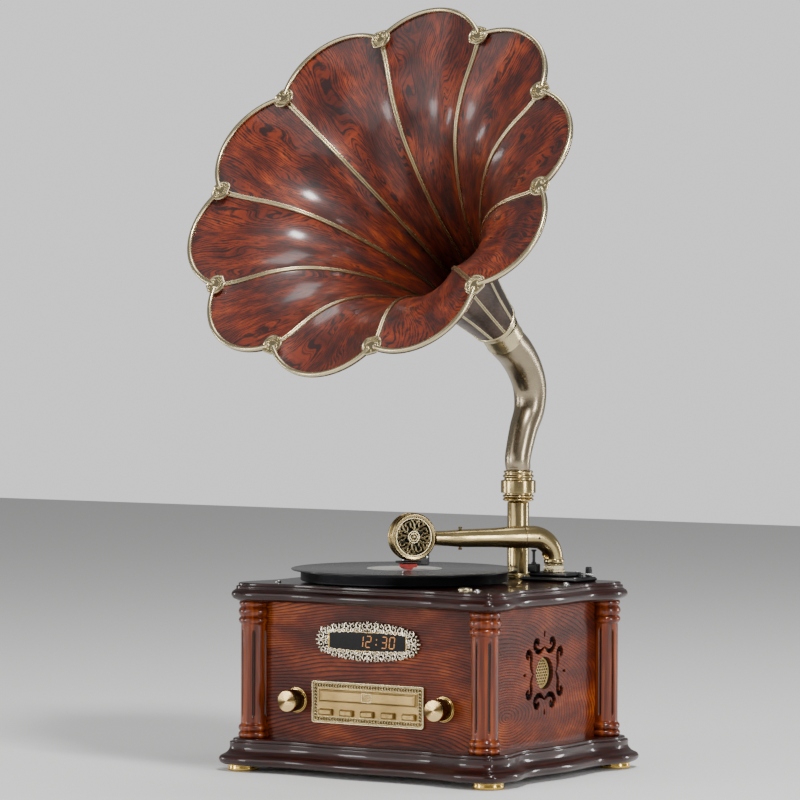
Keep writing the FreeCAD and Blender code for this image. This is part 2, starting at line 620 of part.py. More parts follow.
def horn_point(back, radius, angle):
    """A point of the horn: how far back from its mouth, its distance from the axis, and its angle."""
    tilt = math.radians(value("horn_tilt"))
    out = V(0, -math.cos(tilt), math.sin(tilt))
    up = V(0, math.sin(tilt), math.cos(tilt))
    mouth = V(value("post_x"), value("mouth_y"), value("mouth_z"))
    a = math.radians(angle)
    return mouth - out * back + V(1, 0, 0) * (radius * math.cos(a)) + up * (radius * math.sin(a))


def wall_slope(i):
    """How steeply the wall spreads at a station, as radius per length."""
    a, b = HORN_WALL[max(i - 1, 0)], HORN_WALL[min(i + 1, len(HORN_WALL) - 1)]
    return abs((a[1] - b[1]) / (a[0] - b[0]))


def lobe_rise(radius):
    """How much further out a petal's middle lies than its ribs."""
    throat, mouth = HORN_WALL[-1][1], HORN_WALL[0][1]
    return value("lobe_rise") * ((radius - throat) / (mouth - throat)) ** 1.2


def petal_section(i, start, step):
    back, radius = HORN_WALL[i]
    thick = value("skin") * math.sqrt(1 + wall_slope(i) ** 2)
    spare = math.degrees((value("rib_width") / 2 + 0.2) / radius)
    ends = (start + spare, start + step - spare)
    middle = start + step / 2
    crown = radius + lobe_rise(radius)
    inner = [horn_point(back, radius, ends[0]), horn_point(back, crown, middle),
             horn_point(back, radius, ends[1])]
    outer = [horn_point(back, radius + thick, ends[0]), horn_point(back, crown + thick, middle),
             horn_point(back, radius + thick, ends[1])]
    return Part.Wire([Part.Arc(*inner).toShape(), Part.LineSegment(inner[2], outer[2]).toShape(),
                      Part.Arc(*reversed(outer)).toShape(), Part.LineSegment(outer[0], inner[0]).toShape()])


def rib_section(i, angle):
    """A small bar across the wall, its sides square to the wall's run."""
    back, radius = HORN_WALL[i]
    half = math.degrees(value("rib_width") / 2 / radius)
    thick = value("skin") * math.sqrt(1 + wall_slope(i) ** 2)
    corners = [horn_point(back, radius - 1, angle - half), horn_point(back, radius - 1, angle + half),
               horn_point(back, radius + thick + 1, angle + half),
               horn_point(back, radius + thick + 1, angle - half)]
    return Part.makePolygon(corners + corners[:1])


def rim_arc(start, step):
    """One lobe of the rolled rim, from medallion to medallion."""
    ring = value("medallion_circle")
    crown = horn_point(-3.5, HORN_WALL[0][1] + value("lobe_rise") + 2, start + step / 2)
    arc = Part.Arc(horn_point(-3.5, ring, start), crown, horn_point(-3.5, ring, start + step))
    edge = arc.toShape()
    spare = (value("medallion_radius") + 0.6) / edge.Length * (edge.LastParameter - edge.FirstParameter)
    trimmed = edge.Curve.toShape(edge.FirstParameter + spare, edge.LastParameter - spare)
    circle = Part.makeCircle(value("rim_radius"), trimmed.valueAt(trimmed.FirstParameter),
                             trimmed.tangentAt(trimmed.FirstParameter))
    return Part.Wire(trimmed).makePipeShell([Part.Wire(circle)], True, False)


def make_horn():
    count = int(value("petal_count"))
    step = 360 / count
    stations = range(len(HORN_WALL))
    petals, ribs, rims, medallions = [], [], [], []
    tilt = math.radians(value("horn_tilt"))
    out = V(0, -math.cos(tilt), math.sin(tilt))
    for k in range(count):
        petals.append(Part.makeLoft([petal_section(i, k * step, step) for i in stations], True, False))
        ribs.append(Part.makeLoft([rib_section(i, k * step) for i in stations], True, False))
        rims.append(rim_arc(k * step, step))
        centre = horn_point(-1.5, value("medallion_circle"), k * step)
        medallions.append(Part.makeCylinder(value("medallion_radius"), 7, centre, out))
    for name, solids in (("horn_petals", petals), ("horn_ribs", ribs), ("horn_rim", rims),
                         ("horn_medallions", medallions)):
        thing = DOC.addObject("Part::Feature", "Horn")
        thing.Shape = Part.makeCompound(solids)
        keep(thing, name)
    axis_end = horn_point(HORN_WALL[-1][0] + 0.3, 0, 0)
    ring = DOC.addObject("Part::Feature", "Throat")
    outer = Part.makeCylinder(33, 12, axis_end, V(0, 0, 0) - out)
    ring.Shape = outer.cut(Part.makeCylinder(24, 14, axis_end + out, V(0, 0, 0) - out))
    keep(ring, "throat_ring")


def make_elbow():
    """The swan neck that carries the horn: up from the collar, back, and forward into the throat."""
    x, y = value("post_x"), value("post_y")
    tilt = math.radians(value("horn_tilt"))
    out = V(0, -math.cos(tilt), math.sin(tilt))
    end = horn_point(HORN_WALL[-1][0] + 12.7, 0, 0)
    bends = [(-1, 396, 17.0), (-1, 415, 17.8), (12, 450, 19.2), (27, 478, 21), (28, 508, 23),
             (14, 534, 24.3),
             (-9, 556, 25.3), (-34, 572, 26)]
    centres = [V(x, y + forward, z) for forward, z, _ in bends] + [end]
    radii = [r for _, _, r in bends] + [27]
    directions = [V(0, 0, 1)]
    for i in range(1, len(centres) - 1):
        directions.append((centres[i + 1] - centres[i - 1]).normalize())
    directions.append(out)
    tube(list(zip(centres, directions, radii)), "horn_elbow", 2.2)
    at = ("post_x", "post_y", "0")
    bore = "10 + bearing_gap"
    turned([(bore, "post_top + 0.3"), ("21", "post_top + 0.3"), ("22", "post_top + 2.5"),
            ("20.5", "post_top + 4.5"),
            ("22", "post_top + 7"), ("20", "post_top + 10.5"), ("23.85", "post_top + 12"), ("23.85", "382"),
            ("20", "386"), ("22", "389"), ("22", "394"), ("18", "395.7"), (bore, "395.7")], at,
            "horn_collar")
    turned([("7", "deck_bottom"), ("post_radius", "deck_bottom"), ("post_radius", "post_top"),
            ("10", "post_top"),
            ("10", "395"), ("7", "395")], at, "horn_post")
    turned([("post_radius + 0.05", "deck_top"), ("24", "deck_top"), ("24", "deck_top + 3"),
            ("20", "deck_top + 6"),
            ("post_radius + 0.05", "deck_top + 7")], at, "post_flange")


def write_parts():
    """Check every object, then write each sub-part to its own file."""
    DOC.recompute()
    broken = [o.Label for o in DOC.Objects if "Invalid" in o.State or "Error" in o.State]
    if broken:
        raise RuntimeError(f"these objects failed: {broken}")
    os.makedirs("parts", exist_ok=True)
    for thing in SUBPARTS:
        shape = thing.Shape
        if shape.isNull() or not shape.isValid() or not shape.Solids:
            raise RuntimeError(f"{thing.Label} is not a sound solid")
        shape.exportStep(os.path.join("parts", f"{thing.Label}.step"))
    print(len(SUBPARTS), "nodes written")


for make in (make_feet, make_base, make_columns, make_front_panel, make_side_panels, make_rear_panel,
             make_top,
             make_display, make_control_plate, make_knobs, make_disc_drive, make_works, make_turntable,
             make_belt,
             make_tonearm, make_sound_box, make_deck_fittings, make_horn, make_elbow):
    make()
write_parts()
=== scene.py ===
"""The looks of a horn gramophone with a built-in player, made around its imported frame.

Everything is in the frame's place: metres, +Z up, the front facing -Y. The functions work in millimetres.
"""
import math

import bmesh
import bpy
import numpy as np
from mathutils import Matrix, Vector


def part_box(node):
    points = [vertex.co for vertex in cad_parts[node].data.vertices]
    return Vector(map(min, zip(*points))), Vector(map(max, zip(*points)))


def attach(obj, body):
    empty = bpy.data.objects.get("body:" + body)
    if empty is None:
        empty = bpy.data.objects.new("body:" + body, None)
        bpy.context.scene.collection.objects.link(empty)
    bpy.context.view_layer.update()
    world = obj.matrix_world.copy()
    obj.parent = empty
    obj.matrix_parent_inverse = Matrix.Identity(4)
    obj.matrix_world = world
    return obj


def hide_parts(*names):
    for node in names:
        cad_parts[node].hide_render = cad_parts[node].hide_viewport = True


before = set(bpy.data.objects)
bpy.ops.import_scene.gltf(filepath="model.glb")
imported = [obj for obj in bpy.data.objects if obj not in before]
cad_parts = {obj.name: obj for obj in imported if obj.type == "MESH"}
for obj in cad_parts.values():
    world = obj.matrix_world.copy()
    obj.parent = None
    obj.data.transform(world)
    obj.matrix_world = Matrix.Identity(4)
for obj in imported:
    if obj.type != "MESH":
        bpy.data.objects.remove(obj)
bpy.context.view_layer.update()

bl_info = {
    "name": "Horn gramophone",
    "version": (1, 0, 0),
    "blender": (4, 5, 0),
    "location": "View3D > Sidebar > Gramophone",
    "description": "Builds the visible pieces of a horn gramophone around its frame",
    "category": "Object",
}

# The cabinet: columns and feet from the middle, faces, and the heights of plinth, cornice and deck.
COLUMN_X, COLUMN_Y, COLUMN_RADIUS = 182.0, 149.0, 17.6
FOOT_X, FOOT_Y = 193.2, 157.4
FRONT_FACE, SIDE_FACE = 144.0, 177.0
PLINTH_Z, CORNICE_Z, DECK_Z = 43.4, 226.0, 249.8
SPEAKER_Y, SPEAKER_Z = 4.0, 136.4

# The front: the display and the plate stand a little left of the middle, the knobs on either side of it.
FRONT_OFFSET, DISPLAY_Z, PLATE_Z = -1.5, 178.5, 96.2
KEYS, KEY_PITCH, KEY_Z, TRAY_Z = 5, 32.8, 83.2, 104.8
KNOB_X, KNOB_Z = 115.8, 96.3

# The deck and the tonearm, which heads forward and to the left from its foot.
SPINDLE = np.array([-20.2, -32.5, 0.0])
POST = np.array([52.0, 136.0, 0.0])
ARM_FOOT = np.array([125.0, 110.5, 0.0])
ARM_HEADING = math.radians(236.3)
ARM_Z, ARM_BEND = 309.5, 32.0
SOUND_BOX_AT, SOUND_BOX_Z = 206.7, 312.7
ARM_PLINTH_Z, ARM_STEP_Z = 261.8, 255.8
RECORD_Z = 268.7

# The horn: its wall as (how far back of the mouth, radius), from mouth to throat.
HORN_TILT = math.radians(31.3)
HORN_MOUTH = np.array([52.0, -207.0, 766.0])
HORN_WALL = ((0, 247), (12, 222), (30, 179), (55, 142), (90, 111), (140, 80), (190, 59), (255, 42),
             (322, 30))
PETALS = 10
LOBE_RISE = 29.0
MEDALLION_AT = 246.6

CORNERS = ((-1, -1), (-1, 1), (1, -1), (1, 1))


# ---------------------------------------------------------------- meshes

def box_mm(node):
    """A node's lowest and highest corners, in millimetres."""
    low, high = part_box(node)
    return np.array(low) * 1000, np.array(high) * 1000


def smooth_line(points, count):
    """A smooth line through points, as many samples as asked: each stretch is the cubic whose slope at a
    point is half the way from the point before it to the point after it."""
    p = np.asarray(points, float)
    ends = np.vstack([2 * p[0] - p[1], p, 2 * p[-1] - p[-2]])
    t = np.linspace(0, len(p) - 1, count)
    i = np.minimum(t.astype(int), len(p) - 2)
    f = (t - i)[:, None]
    a, b, c, d = ends[i], ends[i + 1], ends[i + 2], ends[i + 3]
    return 0.5 * (2 * b + (c - a) * f + (2 * a - 5 * b + 4 * c - d) * f**2 + (3 * b - a - 3 * c + d) * f**3)


def arc_section(points, step=8):
    """A section from points (x, z, bulge): a bulge is the arc's rise over half its chord on the way to the
    next point, to the right of the way for a positive one, and 0 is a straight line."""
    out = []
    for (x0, z0, bulge), (x1, z1, _) in zip(points, list(points[1:]) + [points[0]]):
        if abs(bulge) < 1e-6:
            out.append(np.array([[x0, z0]]))
            continue
        f = np.linspace(0, 1, step, endpoint=False)
        half = 2 * math.atan(bulge)
        chord = np.array([x1 - x0, z1 - z0])
        side = np.array([chord[1], -chord[0]])
        turn = half * (2 * f - 1)
        along = 0.5 + np.sin(turn) / (2 * math.sin(half))
        rise = (np.cos(turn) - math.cos(half)) / (2 * math.sin(half))
        out.append(np.array([x0, z0]) + along[:, None] * chord + rise[:, None] * side)
    return np.vstack(out)


class Shell:
    """Surfaces gathered into one mesh. Each surface is a grid of points, and its faces are worked out at
    once."""

    def __init__(self):
        self.points, self.faces, self.uvs, self.kinds, self.shades, self.total = [], [], [], [], [], 0

    def grid(self, p, wrap_u=False, wrap_v=False, flip=False, kind=0, uv=None, shade=None):
        """Add a grid of points (u, v, xyz): one face between each four neighbours, wrapped where asked."""
        p = np.asarray(p, float)
        nu, nv = p.shape[:2]
        u = np.arange(nu if wrap_u else nu - 1)
        v = np.arange(nv if wrap_v else nv - 1)
        u, v = (a.ravel() for a in np.meshgrid(u, v, indexing="ij"))
        u1, v1 = (u + 1) % nu, (v + 1) % nv
        quad = np.stack([u * nv + v, u1 * nv + v, u1 * nv + v1, u * nv + v1], 1)
        if flip:
            quad = quad[:, ::-1]
        if uv is None:
            uv = p[..., :2] * 0.001
        self.points.append(p.reshape(-1, 3))
        self.uvs.append(np.asarray(uv, float).reshape(-1, 2))
        self.shades.append(np.zeros(nu * nv) if shade is None else np.asarray(shade, float).ravel())
        self.faces.append(quad + self.total)
        self.kinds.append(np.full(len(quad), kind))
        self.total += nu * nv
        return self

    def finish(self, name, body, slot, paints, replaces=(), outward=False, sharp=35.0):
        """Put the gathered surfaces into one object: seams and poles merged, faces smooth up to an angle."""
        mesh = bpy.data.meshes.new(name)
        mesh.from_pydata((np.vstack(self.points) * 0.001).tolist(), [], np.vstack(self.faces).tolist())
        uv = mesh.uv_layers.new(name="UVMap")
        corner = np.zeros(len(mesh.loops), np.int32)
        mesh.loops.foreach_get("vertex_index", corner)
        uv.data.foreach_set("uv", np.vstack(self.uvs)[corner].ravel())
        shade = mesh.attributes.new("shade", "FLOAT", "POINT")
        shade.data.foreach_set("value", np.concatenate(self.shades).astype(np.float32))
        mesh.polygons.foreach_set("material_index", np.concatenate(self.kinds).astype(np.int32))
        work = bmesh.new()
        work.from_mesh(mesh)
        bmesh.ops.remove_doubles(work, verts=work.verts, dist=2e-6)
        bmesh.ops.dissolve_degenerate(work, edges=work.edges, dist=1e-6)
        if outward:
            bmesh.ops.recalc_face_normals(work, faces=work.faces)
        work.to_mesh(mesh)
        work.free()
        for paint in paints if isinstance(paints, (list, tuple)) else [paints]:
            mesh.materials.append(paint)
        mesh.polygons.foreach_set("use_smooth", np.ones(len(mesh.polygons), bool))
        mesh.set_sharp_from_angle(angle=math.radians(sharp))
        thing = bpy.data.objects.new(name, mesh)
        bpy.context.scene.collection.objects.link(thing)
        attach(thing, body)
        if replaces:
            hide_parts(*replaces)
        return thing


def turned(section, count=64, centre=(0, 0, 0), axis=(0, 0, 1), start=(1, 0, 0)):
    """A turned surface: each section point (radius, height) goes round the axis in equal steps."""
    section = np.asarray(section, float)
    axis, start = np.asarray(axis, float), np.asarray(start, float)
    across = np.cross(axis, start)
    a = np.linspace(0, 2 * np.pi, count, endpoint=False)[:, None, None]
    r, h = section[None, :, :1], section[None, :, 1:]
    return np.asarray(centre, float) + r * (np.cos(a) * start + np.sin(a) * across) + h * axis


def frames(path, reference):
    """The way along a path and the two ways across it, kept square to a reference direction."""
    along = np.gradient(path, axis=0)
    along /= np.linalg.norm(along, axis=1)[:, None]
    first = np.cross(np.asarray(reference, float), along)
    first /= np.maximum(np.linalg.norm(first, axis=1), 1e-9)[:, None]
    return along, first, np.cross(along, first)


def swept(path, section, reference, scale=None):
    """A section (across, up) carried along a path, made larger or smaller by a scale at each station."""
    path, section = np.asarray(path, float), np.asarray(section, float)
    _, first, second = frames(path, reference)
    scale = np.ones(len(path)) if scale is None else np.asarray(scale, float)
    across = section[None, :, :1] * scale[:, None, None]
    up = section[None, :, 1:] * scale[:, None, None]
    return path[:, None] + across * first[:, None] + up * second[:, None]


def ring_section(radius, sides=8):
    """A round section as (across, up)."""
    a = np.linspace(0, 2 * np.pi, sides, endpoint=False)
    return np.stack([radius * np.cos(a), radius * np.sin(a)], 1)


def capped(section_path):
    """A swept surface with each end drawn in to its middle, so that it is closed."""
    p = np.asarray(section_path, float)
    first = np.repeat(p[:1].mean(1, keepdims=True), p.shape[1], 1)
    last = np.repeat(p[-1:].mean(1, keepdims=True), p.shape[1], 1)
    return np.concatenate([first, p, last])


def sheet_block(low, high, edge=0.6):
    """A block with rounded upright edges, as a stack of rounded rectangles drawn in at its ends."""
    low, high = np.asarray(low, float), np.asarray(high, float)
    mid, half = (low + high) / 2, (high - low) / 2
    a = np.linspace(0, 2 * np.pi, 32, endpoint=False) + np.pi / 32
    corner = np.stack([np.sign(np.cos(a)), np.sign(np.sin(a))], 1)
    wall = corner * (half[:2] - edge) + edge * np.stack([np.cos(a), np.sin(a)], 1)
    inner = corner * (half[:2] - edge)
    layers = [(0 * wall, low[2]), (inner, low[2]), (wall, low[2] + edge), (wall, high[2] - edge),
              (inner, high[2]), (0 * wall, high[2])]
    return layered([(w + mid[:2], z) for w, z in layers]).swapaxes(0, 1)


def turn_points(p, columns):
    """Points whose own x, y and z run along three given directions."""
    return np.asarray(p, float) @ np.asarray(columns, float)


# The front stands in x and z: a piece drawn flat, as (x, z, out), is stood up with this.
STAND_FRONT = ((1, 0, 0), (0, 0, 1), (0, -1, 0))


def stood(p, at):
    """Points drawn flat, as (x, z, out), stood up on the front round a place."""
    return turn_points(p, STAND_FRONT) + np.asarray(at, float)


def layered(rings):
    """Flat outlines of one length, each at its own height, as a grid of points (round, up, xyz)."""
    return np.stack([np.concatenate([p, np.full((len(p), 1), z)], 1) for p, z in rings], 1)


def run_along(line):
    """How far along a line each of its points lies, from 0."""
    return np.concatenate([[0], np.cumsum(np.linalg.norm(np.diff(line, axis=0), axis=1))])


# ---------------------------------------------------------------- materials

def srgb(text):
    """A hex colour as linear red, green, blue and alpha."""
    parts = [int(text[i:i + 2], 16) / 255 for i in (1, 3, 5)]
    return [c / 12.92 if c <= 0.04045 else ((c + 0.055) / 1.055) ** 2.4 for c in parts] + [1.0]


def add(tree, kind, settings=None, inputs=None):
    """Add one shader node. Inputs go by name or number, and are values or other nodes' outputs."""
    made = tree.nodes.new("ShaderNode" + kind)
    for key, setting in (settings or {}).items():
        setattr(made, key, setting)
    for key, source in (inputs or {}).items():
        if isinstance(source, bpy.types.Node):
            source = source.outputs[0]
        if isinstance(source, bpy.types.NodeSocket):
            tree.links.new(source, made.inputs[key])
        else:
            made.inputs[key].default_value = source
    return made


def new_paint(name, sockets):
    """A material and its shader, with the sockets that are the same all over."""
    paint = bpy.data.materials.new(name)
    paint.use_nodes = True
    tree = paint.node_tree
    shader = tree.nodes["Principled BSDF"]
    for key, setting in sockets.items():
        shader.inputs[key].default_value = setting
    return paint, tree, shader


def ramp(tree, source, stops):
    """A colour ramp through (place, hex colour) stops."""
    made = add(tree, "ValToRGB", None, {"Fac": source})
    stack = made.color_ramp.elements
    for i, (place, colour) in enumerate(stops):
        stop = stack[i] if i < 2 else stack.new(place)
        stop.position = place
        stop.color = srgb(colour)
    return made


def math_node(tree, operation, a, b=0.0, clamp=False):
    """One sum on one or two numbers."""
    return add(tree, "Math", {"operation": operation, "use_clamp": clamp}, {0: a, 1: b})


def times(tree, a, b):
    """Two numbers multiplied."""
    return math_node(tree, "MULTIPLY", a, b)


def plus(tree, a, b):
    """Two numbers added."""
    return math_node(tree, "ADD", a, b)


def spread(tree, source, low, high, out_low, out_high):
    """A number stretched from one range to another, and held within it."""
    return add(tree, "MapRange", None, {0: source, 1: low, 2: high, 3: out_low, 4: out_high})


def noise(tree, place, scale, detail=2.0, rough=0.5):
    """Soft noise, with a scale in lumps per unit of the place."""
    return add(tree, "TexNoise", None, {"Vector": place, "Scale": scale, "Detail": detail,
                                        "Roughness": rough})


def blend_colour(tree, amount, a, b):
    """Two colours mixed by an amount."""
    return add(tree, "Mix", {"data_type": "RGBA"}, {0: amount, 6: a, 7: b}).outputs[2]


def bumped(tree, shader, height, depth):
    """Let a height field tip the surface, by a depth in metres."""
    made = add(tree, "Bump", None, {"Height": height, "Strength": 1.0, "Distance": depth})
    tree.links.new(made.outputs[0], shader.inputs["Normal"])


PAINTS = {}


def stained_ash(name, along, heart, bow):
    """Ash, stained red-brown and given a satin varnish: growth rings about 3.6 mm apart, each ending in a
    dark line of open pores, arched round a heart. The grain runs along one axis, and bow is how much it
    arches."""
    paint, tree, shader = new_paint(name, {"Roughness": 0.45, "Specular IOR Level": 0.2,
                                           "Coat Weight": 0.1, "Coat Roughness": 0.2})
    coords = add(tree, "TexCoord").outputs["Object"]
    place = add(tree, "Mapping", None, {"Vector": coords, "Location": tuple(-c for c in heart)})
    split = add(tree, "SeparateXYZ", None, {0: place})
    run, height = split.outputs["XYZ".index(along)], split.outputs[2]
    wide = add(tree, "CombineXYZ", None, {0: times(tree, run, 5.0), 2: times(tree, height, 12.0)})
    wander = noise(tree, wide, 1.0, 1.0, 0.4)
    arch = math_node(tree, "POWER", times(tree, math_node(tree, "ABSOLUTE", run), bow), 2.0)
    far = math_node(tree, "SQRT", plus(tree, arch, math_node(tree, "POWER", height, 2.0)))
    ring_at = plus(tree, far, times(tree, wander, 0.045))
    ring = math_node(tree, "FRACT", times(tree, ring_at, 1 / 0.0036))
    late = spread(tree, ring, 0.45, 0.9, 0.0, 1.0)
    fine = add(tree, "CombineXYZ", None, {0: times(tree, run, 60.0), 2: times(tree, ring_at, 1500.0)})
    pores = noise(tree, fine, 1.0, 2.0, 0.6)
    pore = spread(tree, pores, 0.38, 0.56, 0.0, 1.0)
    lines = times(tree, late, pore)
    patch = noise(tree, wide, 1.3, 5.0, 0.62)
    ground = ramp(tree, patch, ((0.32, "#3c1207"), (0.45, "#5a1e08"), (0.55, "#7b2f0b"), (0.68, "#b25515")))
    grained = blend_colour(tree, times(tree, late, 0.62), ground.outputs[0], srgb("#2a0b05"))
    colour = blend_colour(tree, times(tree, lines, 0.85), grained, srgb("#150605"))
    # Painted shade: where the shade attribute is set, in the pierced scrolls and the speaker hole, the wood
    # goes near-black.
    pierced = add(tree, "Attribute", {"attribute_name": "shade"})
    colour = blend_colour(tree, pierced.outputs["Fac"], colour, srgb("#0c0605"))
    tree.links.new(colour, shader.inputs["Base Color"])
    bumped(tree, shader, math_node(tree, "SUBTRACT", 1.0, lines), 0.00025)
    return paint


def dark_mahogany():
    """Mahogany stained almost black and rubbed to a gloss: a clear skin over faint red streaks about 2 mm
    apart."""
    paint, tree, shader = new_paint("gloss_mahogany", {"Roughness": 0.35, "Specular IOR Level": 0.2,
                                                       "Coat Weight": 0.6, "Coat Roughness": 0.08})
    coords = add(tree, "TexCoord").outputs["Object"]
    place = add(tree, "Mapping", None, {"Vector": coords, "Scale": (30, 30, 600)})
    streak = noise(tree, place, 1.0, 4.0, 0.6)
    colour = ramp(tree, streak, ((0.3, "#140402"), (0.55, "#280904"), (0.75, "#461307")))
    tree.links.new(colour.outputs[0], shader.inputs["Base Color"])
    ripple = noise(tree, coords, 24.0, 1.0)
    bumped(tree, shader, ripple, 0.0004)
    return paint


def column_varnish():
    """Red-brown varnish on turned wood: glossy, with soft upright streaks 6 mm apart and the flutes
    painted near-black as painted shade."""
    paint, tree, shader = new_paint("column_varnish", {"Roughness": 0.3, "Specular IOR Level": 0.25,
                                                       "Coat Weight": 0.5, "Coat Roughness": 0.05})
    coords = add(tree, "TexCoord").outputs["Object"]
    place = add(tree, "Mapping", None, {"Vector": coords, "Scale": (160, 160, 9)})
    streak = noise(tree, place, 1.0, 2.0, 0.5)
    colour = ramp(tree, streak, ((0.3, "#421402"), (0.5, "#662404"), (0.7, "#924107")))
    # The shade attribute marks the flutes: painted shade, near-black in the grooves.
    dark = add(tree, "Attribute", {"attribute_name": "shade"})
    tree.links.new(blend_colour(tree, dark.outputs["Fac"], colour.outputs[0], srgb("#090403")),
                   shader.inputs["Base Color"])
    return paint


def rosewood_lacquer():
    """Sheet metal printed with figured rosewood under clear lacquer: dark veins that run from throat to
    mouth and curl round knots, about 3.6 mm apart at the mouth and closer towards the throat. It reads the
    petals' own map."""
    paint, tree, shader = new_paint("rosewood_lacquer", {"Roughness": 0.5, "Specular IOR Level": 0.35,
                                                         "Coat Weight": 0.5, "Coat Roughness": 0.16})
    coords = add(tree, "UVMap", {"uv_map": "UVMap"})
    split = add(tree, "SeparateXYZ", None, {0: coords})
    slow = add(tree, "Mapping", None, {"Vector": coords, "Scale": (20, 6, 1)})
    knot = noise(tree, slow, 1.0, 2.0, 0.5)
    flow = plus(tree, times(tree, split.outputs[0], 380.0), times(tree, knot, 30.0))
    line = math_node(tree, "SINE", times(tree, flow, 2 * math.pi))
    fine = math_node(tree, "SINE", times(tree, flow, 5.3 * math.pi))
    broken_at = add(tree, "CombineXYZ", None, {0: times(tree, flow, 0.8),
                                               1: times(tree, split.outputs[1], 60.0)})
    broken = noise(tree, broken_at, 1.0, 4.0, 0.65)
    both = plus(tree, times(tree, line, 0.10), times(tree, fine, 0.05))
    dark = spread(tree, plus(tree, both, broken), 0.44, 0.62, 0.0, 0.93)
    cloud_at = add(tree, "CombineXYZ", None, {0: times(tree, flow, 0.09),
                                              1: times(tree, split.outputs[1], 14.0)})
    cloud = noise(tree, cloud_at, 1.0, 4.0, 0.6)
    ground = ramp(tree, cloud, ((0.30, "#330c05"), (0.44, "#571806"), (0.56, "#7b2909"), (0.74, "#af4812")))
    colour = blend_colour(tree, dark.outputs[0], ground.outputs[0], srgb("#1c0606"))
    # Painted shade: the shade attribute darkens the petals towards the throat.
    deep = add(tree, "Attribute", {"attribute_name": "shade"})
    colour = blend_colour(tree, deep.outputs["Fac"], colour, srgb("#1a0808"))
    tree.links.new(colour, shader.inputs["Base Color"])
    return paint


def metal(name, light, dark, rough, brushed=(8, 8, 8), patina=0.5):
    """A metal: its light and dark tones mix in soft clouds 50 mm across and faint brush lines, and it is
    duller where darker. The mesh's shade attribute pushes it further to the dark tone, as painted shade."""
    paint, tree, shader = new_paint(name, {"Metallic": 1.0})
    coords = add(tree, "TexCoord").outputs["Object"]
    cloud = noise(tree, coords, 20.0, 2.0)
    place = add(tree, "Mapping", None, {"Vector": coords, "Scale": brushed})
    lines = noise(tree, place, 60.0, 2.0)
    both = plus(tree, times(tree, lines, 0.35), times(tree, cloud, 0.65))
    amount = spread(tree, both, 0.40, 0.66, 0.0, patina)
    # The shade attribute is painted shade: it darkens recesses, grooves and grounds towards the dark tone.
    painted_shade_amount = add(tree, "Attribute", {"attribute_name": "shade"})
    full = math_node(tree, "ADD", amount, painted_shade_amount.outputs["Fac"], clamp=True)
    tree.links.new(blend_colour(tree, full, srgb(light), srgb(dark)), shader.inputs["Base Color"])
    rougher = spread(tree, full, 0.0, 1.0, rough, min(rough + 0.16, 0.9))
    tree.links.new(rougher.outputs[0], shader.inputs["Roughness"])
    return paint


def plain(name, light, dark, rough, scale=260.0, depth=0.00004, sockets=None):
    """A moulded or painted surface: two close tones and a fine grain of a size given as grains per metre."""
    paint, tree, shader = new_paint(name, {"Roughness": rough, **(sockets or {})})
    coords = add(tree, "TexCoord").outputs["Object"]
    grain = noise(tree, coords, scale, 3.0)
    colour = ramp(tree, grain, ((0.35, dark), (0.65, light)))
    tree.links.new(colour.outputs[0], shader.inputs["Base Color"])
    bumped(tree, shader, grain, depth)
    return paint


def from_centre(tree, centre):
    """How far a point lies from an upright axis, in metres."""
    coords = add(tree, "TexCoord").outputs["Object"]
    shift = add(tree, "Mapping", None, {"Vector": coords, "Location": tuple(-c for c in centre)})
    split = add(tree, "SeparateXYZ", None, {0: shift})
    flat = add(tree, "CombineXYZ", None, {0: split.outputs[0], 1: split.outputs[1]})
    return add(tree, "VectorMath", {"operation": "LENGTH"}, {0: flat}).outputs["Value"]


def pressed_vinyl():
    """Black vinyl pressed with grooves, drawn 0.7 mm apart so that they show, with plainer bands between
    tracks."""
    paint, tree, shader = new_paint("pressed_vinyl", {"IOR": 1.5, "Coat Weight": 0.6,
                                                      "Coat Roughness": 0.12})
    shader.inputs["Base Color"].default_value = srgb("#0b0b0d")
    far = from_centre(tree, SPINDLE * 0.001)
    groove = math_node(tree, "SINE", times(tree, far, 2 * math.pi / 0.0007))
    band = math_node(tree, "SINE", times(tree, far, 2 * math.pi / 0.017))
    smooth = math_node(tree, "GREATER_THAN", band, 0.985)
    rough = spread(tree, smooth, 0.0, 1.0, 0.34, 0.12)
    tree.links.new(rough.outputs[0], shader.inputs["Roughness"])
    bumped(tree, shader, groove, 0.00006)
    return paint


def label_paper():
    """White paper label: matt, faintly fibrous, with one thin grey printed ring."""
    paint, tree, shader = new_paint("label_paper", {"Roughness": 0.6})
    far = from_centre(tree, SPINDLE * 0.001)
    coords = add(tree, "TexCoord").outputs["Object"]
    fibre = noise(tree, coords, 900.0, 2.0)
    base = ramp(tree, fibre, ((0.3, "#e9e6df"), (0.7, "#f6f4ef")))
    near = math_node(tree, "ABSOLUTE", math_node(tree, "SUBTRACT", far, 0.044))
    line = math_node(tree, "LESS_THAN", near, 0.0004)
    tree.links.new(blend_colour(tree, line, base.outputs[0], srgb("#8d8a86")), shader.inputs["Base Color"])
    return paint


